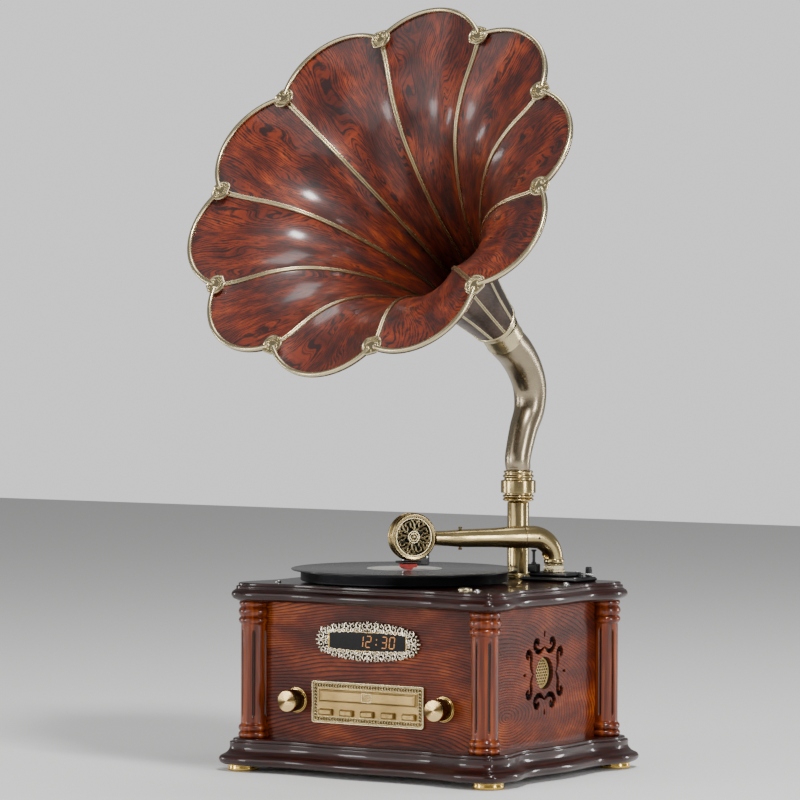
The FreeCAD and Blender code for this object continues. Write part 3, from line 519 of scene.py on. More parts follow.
def spun_brass(name, centre, light="#f0cd8c", dark="#3a280e"):
    """Polished brass faced on a lathe: rings 0.5 mm apart round the knob's own axis, and two light and two
    dark wedges of painted reflection on its face, a painted highlight and painted shade fixed to the knob."""
    paint, tree, shader = new_paint(name, {"Metallic": 1.0, "Roughness": 0.24, "Anisotropic": 0.75})
    coords = add(tree, "TexCoord").outputs["Object"]
    shift = add(tree, "Mapping", None, {"Vector": coords, "Location": tuple(-c for c in centre)})
    split = add(tree, "SeparateXYZ", None, {0: shift})
    flat = add(tree, "CombineXYZ", None, {0: split.outputs[0], 1: split.outputs[2]})
    far = add(tree, "VectorMath", {"operation": "LENGTH"}, {0: flat}).outputs["Value"]
    rings = math_node(tree, "SINE", times(tree, far, 2 * math.pi / 0.0005))
    angle = math_node(tree, "ARCTAN2", split.outputs[2], split.outputs[0])
    # Painted reflection: two light and two dark wedges round the face, mixed into its colour.
    painted_reflection_wedge = math_node(tree, "SINE", plus(tree, times(tree, angle, 2.0), 0.9))
    amount = spread(tree, painted_reflection_wedge, 0.2, 0.95, 0.0, 0.95)
    tree.links.new(blend_colour(tree, amount.outputs[0], srgb(light), srgb(dark)),
                   shader.inputs["Base Color"])
    bumped(tree, shader, rings, 0.00001)
    around = add(tree, "CombineXYZ", None, {0: times(tree, split.outputs[2], -1.0), 2: split.outputs[0]})
    tree.links.new(around.outputs[0], shader.inputs["Tangent"])
    return paint


def smoked_window():
    """Smoked acrylic over a dark display: deep black, flat and glossy."""
    paint, tree, shader = new_paint("smoked_window", {"Roughness": 0.06, "Specular IOR Level": 0.3})
    coords = add(tree, "TexCoord").outputs["Object"]
    dust = noise(tree, coords, 300.0)
    tree.links.new(ramp(tree, dust, ((0.4, "#050505"), (0.7, "#0b0a0a"))).outputs[0],
                   shader.inputs["Base Color"])
    return paint


def lit_amber():
    """Lit amber display bars: they shine by themselves, a little unevenly."""
    paint, tree, shader = new_paint("lit_amber", {"Roughness": 0.4, "Emission Strength": 0.6})
    coords = add(tree, "TexCoord").outputs["Object"]
    uneven = noise(tree, coords, 400.0)
    colour = ramp(tree, uneven, ((0.3, "#a85c1c"), (0.7, "#dc9440")))
    tree.links.new(colour.outputs[0], shader.inputs["Base Color"])
    tree.links.new(colour.outputs[0], shader.inputs["Emission Color"])
    return paint


def make_paints(sizes):
    """Every finish, by the name the pieces use."""
    PAINTS.update({
        "ash_front": stained_ash("stained_ash_front", "X", (0.06, 0, -0.06), 0.4),
        "ash_side": stained_ash("stained_ash_side", "Y", (0, -0.089, 0.0825), 0.5),
        "mahogany": dark_mahogany(),
        "column": column_varnish(),
        "rosewood": rosewood_lacquer(),
        "brass": metal("polished_brass", sizes.brass_hex, "#6b5022", 0.16, (1, 1, 14), 0.3),
        "pale_brass": metal("antique_pale_brass", "#d3c49b", "#4a3d26", 0.26, (2, 2, 2), 0.2),
        "bronze": metal("brushed_bronze", "#a3957c", "#4c4233", 0.25, (2, 2, 14), 0.2),
        "tube_brass": metal("tube_brass", "#bda877", "#5d4b2c", 0.2, (2, 2, 12), 0.3),
        "dark_shell": metal("dark_horn_shell", "#5a4a42", "#1b1311", 0.28, (3, 3, 9), 0.7),
        "gold": metal("satin_gold_plate", "#b79a63", "#57421f", 0.36, (2, 40, 40), 0.55),
        # The bezel's silver; its near-black dark tone is painted shade on the ground between the curls.
        "silver": metal("cast_silver_with_painted_shade", "#e6dcc6", "#120c08", 0.22, (8, 8, 8), 0.12),
        "foot_brass": metal("foot_brass", "#e6c068", "#75531c", 0.16, (20, 20, 2), 0.3),
        "knob_side": metal("knob_side_brass", "#6d5a38", "#2a2012", 0.26, (8, 2, 8), 0.4),
        "mesh_brass": plain("mesh_brass", "#cdb070", "#9a7f48", 0.4, 600.0),
        # Near-black painted shade, closing the grille's holes and the neck pipe's bore.
        "hole_shade_black": plain("hole_shade_black", "#0a0706", "#050403", 0.7, 600.0),
        "steel": metal("turned_steel", "#c9c9c8", "#6d6d6e", 0.25, (4, 4, 20), 0.4),
        "platter": metal("satin_black_aluminium", "#333336", "#1a1a1d", 0.34, (1, 1, 30), 0.5),
        "vinyl": pressed_vinyl(),
        "label": label_paper(),
        "window": smoked_window(),
        "amber": lit_amber(),
        "black": plain("black_moulding", "#19191a", "#0e0e0f", 0.42, 1400.0),
        "rubber": plain("belt_rubber", "#1d1d1d", "#101010", 0.75, 900.0),
        # Near-black painted shade: hole walls of the control plate, the tonearm's pivot holes and the ground
        # behind the sound box's openwork.
        "dark": plain("painted_shade_black", "#171210", "#0b0807", 0.6, 700.0),
        "board": plain("circuit_board", "#1d5c34", "#123f24", 0.4, 500.0),
        "fibreboard": plain("fibreboard", "#a5855c", "#7f633f", 0.85, 800.0, 0.0002),
        "red": plain("stylus_red", "#d92a14", "#b01a0c", 0.5, 300.0),
        "knob_left": spun_brass("spun_brass_left", (-KNOB_X * 0.001, 0, KNOB_Z * 0.001)),
        "knob_right": spun_brass("spun_brass_right", (KNOB_X * 0.001, 0, KNOB_Z * 0.001)),
    })


def paint_node(node, paint):
    """Give a frame node its finish."""
    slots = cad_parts[node].data.materials
    slots.clear()
    slots.append(PAINTS[paint])


# ---------------------------------------------------------------- cabinet

def plan_line(count=64, corner=10.0, rise=4.0):
    """The plan that the mouldings follow: a rectangle through the columns with small corners, given as
    places, outward directions and a wave. Along each side the wave is a third of rise in the middle, dips
    by rise at six tenths of the half side, and swells to 1.6 times rise round the corner, whose outward
    directions lean to a mitre."""
    place, out, wave = [], [], []
    u = np.linspace(-1, 1, count)
    for k in range(4):
        a = k * np.pi / 2
        outward = np.array([np.sin(a), -np.cos(a)])
        along = np.array([np.cos(a), np.sin(a)])
        half, deep = (COLUMN_X, COLUMN_Y) if k % 2 == 0 else (COLUMN_Y, COLUMN_X)
        place.append(outward * deep + along * (half - corner) * u[:, None])
        out.append(np.repeat(outward[None], count, 0))
        far = np.abs(u)
        swell = -rise + 1.3 * rise * (1 - np.cos(np.pi * (far - 0.6) / 0.4))
        wave.append(np.where(far < 0.6, rise * (np.cos(np.pi * far / 0.6) - 0.5) / 1.5, swell))
        b = np.linspace(0, np.pi / 2, 34)[1:-1, None]
        turn = outward * np.cos(b) + along * np.sin(b)
        mitre = turn / (np.cos(b) ** 7 + np.sin(b) ** 7) ** (1 / 7)
        place.append(outward * (deep - corner) + along * (half - corner) + corner * turn)
        out.append(0.3 * turn + 0.7 * mitre)
        wave.append(np.full(len(b), 1.6 * rise))
    return np.vstack(place), np.vstack(out), np.concatenate(wave)


def moulding(section, rise):
    """A moulding: its section (reach, height) carried round the plan. The wave moves the parts that reach
    10 mm out by all of itself and those 10 mm in by none."""
    place, out, wave = plan_line(rise=rise)
    reach, height = section[:, 0], section[:, 1]
    share = np.clip((reach + 10) / 20, 0, 1)
    far = reach[None] + wave[:, None] * share[None]
    flat = place[:, None] + out[:, None] * far[..., None]
    return np.concatenate([flat, np.broadcast_to(height[None, :, None], far.shape + (1,))], 2)


def make_base(sizes):
    """The stepped plinth: a round nosing at the foot, a hollow, and two small steps under the columns."""
    section = arc_section((
        (-10, PLINTH_Z, 0), (18.4, PLINTH_Z, -0.41), (20.6, 41.2, 0), (20.6, 39.4, 0), (22.2, 39.4, -0.41),
        (24.2, 37.4, 0), (24.2, 34.4, 0.32), (30.4, 22.6, 0), (31.6, 22.0, -0.75), (31.4, 9.0, 0),
        (-10, 9.0, 0)))
    Shell().grid(moulding(section, sizes.wave), True, True, flip=True).finish(
        "base_plinth_wood", "cabinet", "moulding_wood", PAINTS["mahogany"], ["base_plinth"], outward=True)


def make_top(sizes):
    """The cornice, from its lower nosing through two small steps, and the deck that it frames."""
    section = arc_section((
        (-3, 249.6, 0), (13.4, 249.6, -0.41), (14.8, 248.2, 0), (14.8, 246.2, 0), (16.0, 245.8, -0.41),
        (17.4, 244.2, 0), (17.4, 241.6, 0), (18.4, 240.9, 0), (18.6, 240.4, -0.72), (17.6, 227.2, 0),
        (16.2, CORNICE_Z, 0), (-3, CORNICE_Z, 0)))
    Shell().grid(moulding(section, sizes.wave), True, True, flip=True).finish(
        "cornice_wood", "cabinet", "moulding_wood", PAINTS["mahogany"], ["cornice"], outward=True)
    place, out, wave = plan_line(rise=sizes.wave)
    edge = place + out * (13.0 + wave[:, None])
    inner = place - out * 2
    rings = [(edge * 0, DECK_Z), (inner, DECK_Z), (edge, DECK_Z), (edge, 249.2), (inner, 240.6),
             (edge * 0, 240.6)]
    Shell().grid(layered(rings), True, False).finish(
        "deck_top_wood", "cabinet", "moulding_wood", PAINTS["mahogany"], ["deck_board"], outward=True)


def column_surface(x, y, phase):
    """A column: the radius of its turned outline at each height, less six flutes 2 mm deep, which fade out
    between 1 and 2 mm from their middle lines and end in round tops."""
    outline = arc_section((
        (0, PLINTH_Z, 0), (18.9, PLINTH_Z, 0.52), (18.9, 51.4, 0), (17.9, 51.9, 0), (18.5, 52.4, 0.5),
        (18.5, 61.0, 0), (17.8, 61.6, 0), (COLUMN_RADIUS, 64.0, 0)), 9)
    top = arc_section((
        (COLUMN_RADIUS, 193.6, 0), (17.9, 194.9, 0), (18.5, 195.3, 0.5), (18.5, 203.8, 0), (17.8, 204.3, 0),
        (18.1, 204.8, 0.46), (18.1, 217.0, 0), (17.8, 217.5, 0), (18.3, 218.0, 0.52), (18.3, 225.3, 0),
        (17.5, CORNICE_Z, 0), (0, CORNICE_Z, 0)), 9)
    shaft = np.stack([np.full(70, COLUMN_RADIUS), np.linspace(66.5, 191.5, 70)], 1)
    line = np.vstack([outline, shaft, top])
    a = np.linspace(0, 2 * np.pi, 192, endpoint=False)
    flutes, flute_low, flute_high, depth = 6, 73.0, 185.0, 2.0
    near = (a - phase + np.pi / flutes) % (2 * np.pi / flutes) - np.pi / flutes
    side = (np.abs(near) * COLUMN_RADIUS)[:, None]
    z = line[None, :, 1]
    beyond = np.maximum(np.maximum(flute_low - z, z - flute_high), 0.0)
    gap = np.sqrt(side**2 + beyond**2)
    cut = np.clip(2.0 - gap, 0, 1) * (np.abs(line[None, :, 0] - COLUMN_RADIUS) < 0.2)
    r = line[None, :, 0] - depth * cut
    flat = np.stack([x + r * np.cos(a)[:, None], y + r * np.sin(a)[:, None], np.broadcast_to(z, r.shape)], 2)
    return flat, cut


def make_columns(sizes):
    """Four fluted columns with ring mouldings at both ends, in two rows."""
    for row, node, sign in (("front_column_wood", "front_columns", -1),
                            ("rear_column_wood", "rear_columns", 1)):
        shell = Shell()
        for side in (-1, 1):
            phase = math.radians(-56 if side < 0 else -38)
            surface, shade = column_surface(side * COLUMN_X, sign * COLUMN_Y, phase * -sign)
            # The flute cut goes in as the shade attribute: painted shade in the flutes.
            shell.grid(surface, True, False, shade=shade)
        shell.finish(row, "cabinet", "column_wood", PAINTS["column"], [node], outward=True, sharp=50)


def stroke_depth(across, up, strokes):
    """How far inside a set of brush strokes each point lies, in mm: the largest, over all points of every
    stroke's smooth line, of the stroke's half width there less the distance to it. A stroke is a list of
    (across, up, half width), and is drawn a fifth wider than that."""
    deep = np.full(across.shape, -99.0)
    for stroke in strokes:
        line = smooth_line(stroke, 60) * (1, 1, 1.2)
        for x, y, half in line:
            np.maximum(deep, half - np.hypot(across - x, up - y), out=deep)
    return deep


def panel_strokes():
    """The pierced scrolls round the speaker hole: a curled bracket on each side, and a teardrop past
    each."""
    tall = ((0, 34.6, 0.6), (5, 31.2, 1.6), (12, 28.4, 2.6), (19.5, 30.5, 2.9), (24, 36.5, 3.0),
            (21.5, 42.5, 3.0), (16.5, 43, 2.7), (15.5, 39.8, 2.4))
    wide = ((27.9, 0, 0.6), (31.2, 5, 1.7), (33.4, 12.5, 2.4), (32.6, 19.5, 2.6), (34.2, 27, 2.9),
            (39.6, 29.6, 3.0), (43, 25.4, 2.8), (41, 22, 2.3))
    strokes = [[(sx * x, sy * y, w) for x, y, w in bracket]
               for sx, sy in CORNERS for bracket in (tall, wide)]
    for sign in (-1, 1):
        strokes.append([(0, sign * 48, 0.6), (0, sign * 50.5, 1.3), (0, sign * 53, 1.5)])
        strokes.append([(sign * 46, 0, 0.6), (sign * 48, 0, 1.3), (sign * 50, 0, 1.5)])
    return strokes


def make_side_panels(sizes):
    """The side panels: flat boards whose depth at each point follows how far inside the pierced shapes it
    lies, and whose colour there is painted near-black as painted shade."""
    half = COLUMN_Y - COLUMN_RADIUS + 1
    scroll_depth, hole_depth, hole_radius = 6.4, 7.9, 21.0
    fine_y = np.arange(-56, 56.1, 0.6) + SPEAKER_Y
    fine_z = np.arange(-58, 58.1, 0.6) + SPEAKER_Z
    ys = np.concatenate([np.linspace(-half, fine_y[0] - 1, 12), fine_y,
                         np.linspace(fine_y[-1] + 1, half, 12)])
    zs = np.concatenate([np.linspace(PLINTH_Z, fine_z[0] - 1, 8), fine_z,
                         np.linspace(fine_z[-1] + 1, CORNICE_Z, 8)])
    y, z = np.meshgrid(ys, zs, indexing="ij")
    deep = stroke_depth(y - SPEAKER_Y, z - SPEAKER_Z, panel_strokes())
    hole = np.clip((hole_radius - np.hypot(y - SPEAKER_Y, z - SPEAKER_Z)) / 0.7 + 0.3, 0, 1)
    scroll = np.clip(deep / 0.7 + 0.3, 0, 1)
    for name, node, side in (("left_panel_wood", "left_panel", -1), ("right_panel_wood", "right_panel", 1)):
        x = side * (SIDE_FACE - np.maximum(scroll_depth * scroll, hole_depth * hole))
        front = np.stack([x, y, z], 2)
        back = np.stack([np.full_like(x, side * (SIDE_FACE - 8)), y, z], 2)[[0, -1]][:, [0, -1]]
        # The scroll and hole masks go in as the shade attribute: painted shade, near-black in the pockets.
        shell = Shell().grid(front, flip=side < 0, shade=np.clip(3 * np.maximum(scroll, hole), 0, 1))
        shell.grid(back, flip=side > 0)
        shell.finish(name, "cabinet", "cabinet_wood", PAINTS["ash_side"], [node], sharp=60)


def make_grilles(sizes):
    """A brass mesh behind each speaker hole: hexagonal cells 4.4 mm apart, each a hexagon round a round
    hole closed by a near-black funnel of painted shade."""
    pitch = 4.4
    n = np.arange(-8, 9)
    i, j = (a.ravel() for a in np.meshgrid(n, n))
    cy, cz = pitch * (i + 0.5 * (j % 2)), pitch * 0.866 * j
    inside = np.hypot(cy, cz) < 19.6
    cy, cz = cy[inside] + SPEAKER_Y, cz[inside] + SPEAKER_Z
    a = np.linspace(0, 2 * np.pi, 12, endpoint=False) + np.pi / 6
    hexagon = pitch / 2 / np.cos((a % (np.pi / 3)) - np.pi / 6)
    shell = Shell()
    for side in (-1, 1):
        x = side * (SIDE_FACE - 7.2)
        layers = []
        for radius, out in ((hexagon, 0.0), (np.full(12, 1.6), 0.35), (np.full(12, 1.5), -0.6),
                            (np.zeros(12), -0.6)):
            layers.append(np.stack([np.full((len(cy), 12), x + side * out),
                                    cy[:, None] + radius * np.cos(a - np.pi / 6),
                                    cz[:, None] + radius * np.sin(a - np.pi / 6)], 2))
        for k in range(len(cy)):
            cell = np.stack([layer[k] for layer in layers], 1)
            shell.grid(cell[:, :2], True, False, flip=side < 0)
            # Painted shade: each hole is closed by a funnel in the near-black hole paint.
            shell.grid(cell[:, 1:], True, False, flip=side < 0, kind=1)
        plate = turned(((18.4, 0), (20.8, 0), (20.8, 0.8), (18.4, 0.8)), 48,
                       (x - side * 0.2, SPEAKER_Y, SPEAKER_Z),
                       (side, 0, 0), (0, 1, 0))
        shell.grid(plate, True, True)
    shell.finish("speaker_mesh", "cabinet", "grille_brass", [PAINTS["mesh_brass"], PAINTS["hole_shade_black"]],
                 ["speaker_grilles"], sharp=40)


def make_feet(sizes):
    """Four brass discs with a rounded rim and a shallow waist."""
    section = arc_section(((0, 9, 0), (19.4, 9, -0.41), (20.4, 8, 0), (20.1, 5.2, 0), (20.4, 4.4, 0),
                           (20.4, 1, -0.41), (19.4, 0, 0), (0, 0, 0)), 4)[:-1]
    shell = Shell()
    for sx, sy in CORNERS:
        shell.grid(turned(section, 48, (sx * FOOT_X, sy * FOOT_Y, 0)), True, False)
    shell.finish("brass_feet", "cabinet", "polished_brass", PAINTS["foot_brass"], ["feet"], outward=True)


# ---------------------------------------------------------------- front controls

def spiral(cx, cz, size, start, turns, hand, count=26):
    """A flat spiral: its radius shrinks evenly from size to a sixth of it while it turns from a start
    angle."""
    f = np.linspace(0, 1, count)
    r = size * (1 - 0.83 * f)
    a = start + hand * turns * 2 * np.pi * f
    return np.stack([cx + r * np.cos(a), cz + r * np.sin(a)], 1)


def relief(shell, line, half, height, base=0.0, kind=0, ends=0.35, stand=None, origin=(0, 0, 0), sides=7):
    """A raised half-round thread along a flat line: widest in its middle, drawn in at its ends."""
    line = np.asarray(line, float)
    f = np.linspace(0, 1, len(line))
    swell = ends + (1 - ends) * np.sin(np.pi * f) ** 0.6
    way = np.gradient(line, axis=0)
    way /= np.maximum(np.linalg.norm(way, axis=1), 1e-9)[:, None]
    across = np.stack([-way[:, 1], way[:, 0]], 1)
    a = np.linspace(0, np.pi, sides)
    side = (half * swell)[:, None] * np.cos(a)
    up = (height * swell)[:, None] * np.sin(a) + base
    flat = line[:, None] + across[:, None] * side[..., None]
    p = np.concatenate([flat, up[..., None]], 2)
    low = p[:, [0, -1]].mean(1, keepdims=True)
    p = np.concatenate([low, p, low], 1)
    p[:, 0, 2] = p[:, -1, 2] = base
    p = capped(p)
    shell.grid(turn_points(p, stand or STAND_FRONT) + np.asarray(origin, float), False, True, kind=kind)


def dome(shell, cx, cz, long, short, height, angle, base=0.0, kind=0, stand=None, origin=(0, 0, 0),
         pointed=0.0):
    """A small raised leaf: half an egg, longer one way than the other, drawn to a point at its far end."""
    a = np.linspace(0, 2 * np.pi, 12, endpoint=False)[:, None]
    b = np.linspace(0, np.pi / 2, 4)[None]
    u = np.cos(a) * np.cos(b) * long
    v = np.sin(a) * np.cos(b) * short * (1 - pointed * (np.cos(a) * np.cos(b) + 1) / 2)
    x = cx + u * math.cos(angle) - v * math.sin(angle)
    z = cz + u * math.sin(angle) + v * math.cos(angle)
    p = np.stack([x, z, base + height * np.sin(b) + 0 * u], 2)
    shell.grid(turn_points(p, stand or STAND_FRONT) + np.asarray(origin, float), True, False, kind=kind)


def make_bezel(sizes):
    """The display's cast frame: a ground painted near-black, as painted shade, under two rows of curls that
    turn by turns left and right, with a fringe of leaves. The rows lie at set shares of the way from the
    window's edge to a rounded outline."""
    at = (FRONT_OFFSET, -FRONT_FACE, DISPLAY_Z)
    shell = Shell()
    a = np.linspace(0, 2 * np.pi, 240, endpoint=False)
    outer = np.stack([80.0 * np.sign(np.cos(a)) * np.abs(np.cos(a)) ** 0.95,
                      24.6 * np.sign(np.sin(a)) * np.abs(np.sin(a)) ** 0.72], 1)
    ratio = np.maximum(np.abs(outer[:, 0]) / 60.5, np.abs(outer[:, 1]) / 12.0)
    inner = outer / ratio[:, None]
    rings = [(inner, 0.0), (inner, 2.6), (inner + (outer - inner) * 0.1, 2.9), (outer * 0.985, 2.2),
             (outer * 0.97, 0.0)]
    plate = layered(rings)
    # Painted shade: the ground plate's shade of 0.97 makes it near-black between the curls.
    shell.grid(stood(plate, at), True, False, kind=0, shade=np.full((240, 5), 0.97))
    quarter = slice(0, 61)
    for share, size, count, height in ((0.70, 4.9, 9, 2.9), (0.22, 3.2, 11, 2.6)):
        row = inner[quarter] + (outer - inner)[quarter] * share
        run = run_along(row)
        spots = (np.arange(count) + 0.55) / count * run[-1]
        for i, spot in enumerate(spots):
            cx, cz = (np.interp(spot, run, row[:, axis]) for axis in (0, 1))
            lean = math.atan2(cz * 3, cx)
            start, hand = (lean + 0.4, -1) if i % 2 else (lean + 2.2, 1)
            curl = spiral(cx, cz, size, start, 1.15, hand, 20)
            for corner in CORNERS:
                relief(shell, curl * corner, 1.15, 2.0, height, ends=0.6, origin=at, sides=6)
    row = outer[quarter]
    run = run_along(row)
    for i, spot in enumerate(np.linspace(0, run[-1], 17)):
        cx, cz = (np.interp(spot, run, row[:, axis]) for axis in (0, 1))
        lean = math.atan2(cz * 4, cx) + 0.3 * (-1) ** i
        long = 3.6 if i in (0, 16) else 2.3
        for sx, sz in CORNERS:
            turn = math.atan2(sz * math.sin(lean), sx * math.cos(lean))
            dome(shell, sx * cx, sz * cz * 0.985, long, 1.7, 2.0, turn, 2.2, origin=at, pointed=0.3)
    for x, z, long, turn in ((0, 20, 5.0, 1.57), (0, -20, 5.0, -1.57), (72, 0, 6.5, 0.0),
                             (-72, 0, 6.5, 3.14), (65, 0, 2.4, 0.0), (-65, 0, 2.4, 3.14)):
        dome(shell, x, z, long, 2.0, 2.6, turn, 2.8, origin=at, pointed=0.5)
    frame_line = [(-60.9, -12.4), (60.9, -12.4), (60.9, 12.4), (-60.9, 12.4)]
    for (x0, z0), (x1, z1) in zip(frame_line, frame_line[1:] + frame_line[:1]):
        line = np.linspace((x0, z0), (x1, z1), 6)
        relief(shell, line, 0.9, 1.3, 2.9, kind=1, ends=1.0, origin=at, sides=6)
    shell.finish("display_bezel_cast", "cabinet", "bezel_silver", [PAINTS["silver"], PAINTS["brass"]],
                 ["display_bezel"], outward=True)


DIGIT_BARS = {"0": "abcdef", "1": "bc", "2": "abged", "3": "abgcd"}


def make_display(sizes):
    """A lit clock reading behind the window: each digit is up to seven bars, leaning a little."""
    paint_node("display_module", "window")
    module_front = box_mm("display_module")[0][1]
    wide, tall, pitch, half, lean = 7.4, 14.6, 12.3, 0.66, 0.12
    bars = {"a": ((0, 1), (1, 1)), "g": ((0, 0.5), (1, 0.5)), "d": ((0, 0), (1, 0)), "f": ((0, 0.5), (0, 1)),
            "b": ((1, 0.5), (1, 1)), "e": ((0, 0), (0, 0.5)), "c": ((1, 0), (1, 0.5))}
    shell = Shell()
    at = (FRONT_OFFSET, module_front - 0.02, DISPLAY_Z)
    start = -14.5
    for k, digit in enumerate("12 30"):
        for bar in DIGIT_BARS.get(digit, ""):
            ends = np.array(bars[bar], float) * (wide, tall)
            way = ends[1] - ends[0]
            ends = ends + np.outer((0.75, -0.75), way / np.linalg.norm(way))
            line = np.linspace(ends[0], ends[1], 4) + (start + k * pitch, -tall / 2)
            line[:, 0] += lean * line[:, 1]
            relief(shell, line, half, 0.18, 0.0, ends=1.0, origin=at, sides=4)
    for z in (-3.2, 3.2):
        dome(shell, start + 2 * pitch + 3.7 + lean * z, z, 1.0, 1.0, 0.18, 0.0, origin=at)
    shell.finish("display_figures", "cabinet", "display_glass", PAINTS["amber"], outward=True)


def flat_frame(shell, half_w, half_h, corner, section, at, kind=0, dark=0.0):
    """A frame bent round a rectangle with round corners: its section (outward, up) at every point of the
    line."""
    a = np.linspace(0, 2 * np.pi, 64, endpoint=False) + np.pi / 64
    sign = np.stack([np.sign(np.cos(a)), np.sign(np.sin(a))], 1)
    turn = np.stack([np.cos(a), np.sin(a)], 1)
    centre = sign * (np.array([half_w, half_h]) - corner)
    section = np.asarray(section, float)
    flat = centre[:, None] + turn[:, None] * np.maximum(corner + section[None, :, :1], 0.01)
    p = np.concatenate([flat, np.broadcast_to(section[None, :, 1:], flat.shape[:2] + (1,))], 2)
    shell.grid(stood(p, at), True, False, kind=kind, shade=np.full(p.shape[:2], dark))


def window_plate(shell, xs, zs, holes, thick, at):
    """A flat plate cut on a grid of lines, with the cells that fall in a hole left out and the holes given
    walls."""
    for i in range(len(xs) - 1):
        for j in range(len(zs) - 1):
            mid = ((xs[i] + xs[i + 1]) / 2, (zs[j] + zs[j + 1]) / 2)
            if any(x0 < mid[0] < x1 and z0 < mid[1] < z1 for x0, x1, z0, z1 in holes):
                continue
            x, z = np.meshgrid([xs[i], xs[i + 1]], [zs[j], zs[j + 1]], indexing="ij")
            p = np.stack([x, z, np.full_like(x, thick)], 2)
            shell.grid(stood(p, at))
    for x0, x1, z0, z1 in holes:
        line = np.array([(x0, z0), (x1, z0), (x1, z1), (x0, z1)], float)
        wall = np.stack([np.concatenate([line, np.full((4, 1), out)], 1) for out in (thick, 0.2)], 1)
        # The walls are kind 2, which the control plate paints near-black: painted shade in the gaps round
        # tray and keys.
        shell.grid(stood(wall, at), True, False, kind=2)


def make_control_plate(sizes):
    """The control plate: a rolled rim, a border of paired leaves, an inner bead, and slots for tray and
    keys."""
    at = (FRONT_OFFSET, -FRONT_FACE, PLATE_Z)
    shell = Shell()
    key_z, tray_z = KEY_Z - PLATE_Z, TRAY_Z - PLATE_Z
    spots = [(k - 2) * KEY_PITCH for k in range(KEYS)]
    keys = [(x - 10.4, x + 10.4, key_z - 4.5, key_z + 4.5) for x in spots]
    tray = (-77.0, 77.0, tray_z - 8.2, tray_z + 8.2)
    holes = keys + [tray]
    xs = sorted({-87.5, 87.5, tray[0], tray[1]} | {x for hole in keys for x in hole[:2]})
    zs = sorted({-27.0, 27.0, tray[2], tray[3], key_z - 4.5, key_z + 4.5})
    window_plate(shell, xs, zs, holes, 2.2, at)
    rim = arc_section(((0, 0, 0), (0, 3.0, 0.9), (-2.4, 3.0, 0), (-2.4, 2.3, 0), (-3.2, 2.25, 0)), 5)[:-1]
    # The rolled rim, the beads and the border leaves are kind 1, the paler brass: painted highlight on the
    # raised border.
    flat_frame(shell, 88.5, 28.0, 4.0, rim, at, 1)
    # Painted shade: the band under the leaves is darkened with shade 0.85.
    flat_frame(shell, 82.3, 21.9, 2.0, ((2.7, 2.28), (-2.7, 2.28)), at, 0, 0.85)
    for half_w, half_h, half in ((79.3, 18.9, 0.55), (85.2, 24.8, 0.45)):
        bead = arc_section(((half, 2.1, 1.0), (-half, 2.1, 0)), 6)[:-1]
        flat_frame(shell, half_w, half_h, 1.8, bead, at, 1)
    flat_frame(shell, 77.6, 9.2, 1.0, ((0.5, 2.2), (0.5, 3.0), (-0.5, 3.0), (-0.5, 2.2)),
               (at[0], at[1], TRAY_Z))
    # The leaves are kind 1, the paler brass: painted highlight on the raised border.
    half_w, half_h, step = 82.3, 21.9, 4.3
    for sign in (-1, 1):
        for k in range(int(2 * half_w / step)):
            x = -half_w + step * (k + 0.7)
            for lean in (-1, 1):
                dome(shell, x, sign * half_h + lean * 1.0, 2.2, 1.0, 1.6, lean * 0.6, 2.2, 1, origin=at,
                     pointed=0.4)
        for k in range(int(2 * half_h / step)):
            z = -half_h + step * (k + 0.7)
            for lean in (-1, 1):
                dome(shell, sign * half_w + lean * 1.0, z, 2.2, 1.0, 1.6, math.pi / 2 + lean * 0.6, 2.2, 1,
                     origin=at, pointed=0.4)
    shell.finish("control_plate_brass", "cabinet", "plate_gold",
                 [PAINTS["gold"], PAINTS["pale_brass"], PAINTS["dark"]],
                 ["control_plate"], sharp=35)


def key_block(shell, half_w, half_h, back, front, at, corner=1.0, dish=0.0):
    """A key: rounded corners, a soft front edge, and a face that is dished or flat."""
    rings = ((0, back), (0, front - 0.7), (-0.25, front - 0.2), (-0.7, front), (-1.6, front - dish))
    flat_frame(shell, half_w, half_h, corner, rings, at)
    p = np.array([[[-1, -1], [-1, 1]], [[1, -1], [1, 1]]], float) * (half_w - 1.6, half_h - 1.6)
    face = np.concatenate([p, np.full((2, 2, 1), front - dish)], 2)
    shell.grid(stood(face, at))


def make_keys(sizes):
    """Five push keys with a small raised mark each: a bar, an arrow back, an arrow on, a square, three
    bars."""
    square = [(-1.6, -1.6), (1.6, -1.6), (1.6, 1.6), (-1.6, 1.6)]
    marks = (
        [((-3, 0), (3, 0))],
        [((1.5, 1.8), (-1.8, 0)), ((-1.8, 0), (1.5, -1.8))],
        [((-1.5, 1.8), (1.8, 0)), ((1.8, 0), (-1.5, -1.8))],
        list(zip(square, square[1:] + square[:1])),
        [((x, -1.4), (x, 1.4)) for x in (-2.4, 0, 2.4)],
    )
    for k in range(KEYS):
        shell = Shell()
        at = (FRONT_OFFSET + (k - 2) * KEY_PITCH, -FRONT_FACE, KEY_Z)
        key_block(shell, 10.0, 4.15, -1.4, 6.5, at, dish=0.25)
        for a, b in marks[k]:
            relief(shell, np.linspace(a, b, 5), 0.42, 0.45, 6.2, ends=0.8, origin=at, sides=5)
        shell.finish(f"push_key_{k + 1}", f"push_button_{k + 1}", "plate_gold", PAINTS["gold"],
                     [f"push_button_{k + 1}"], sharp=30)


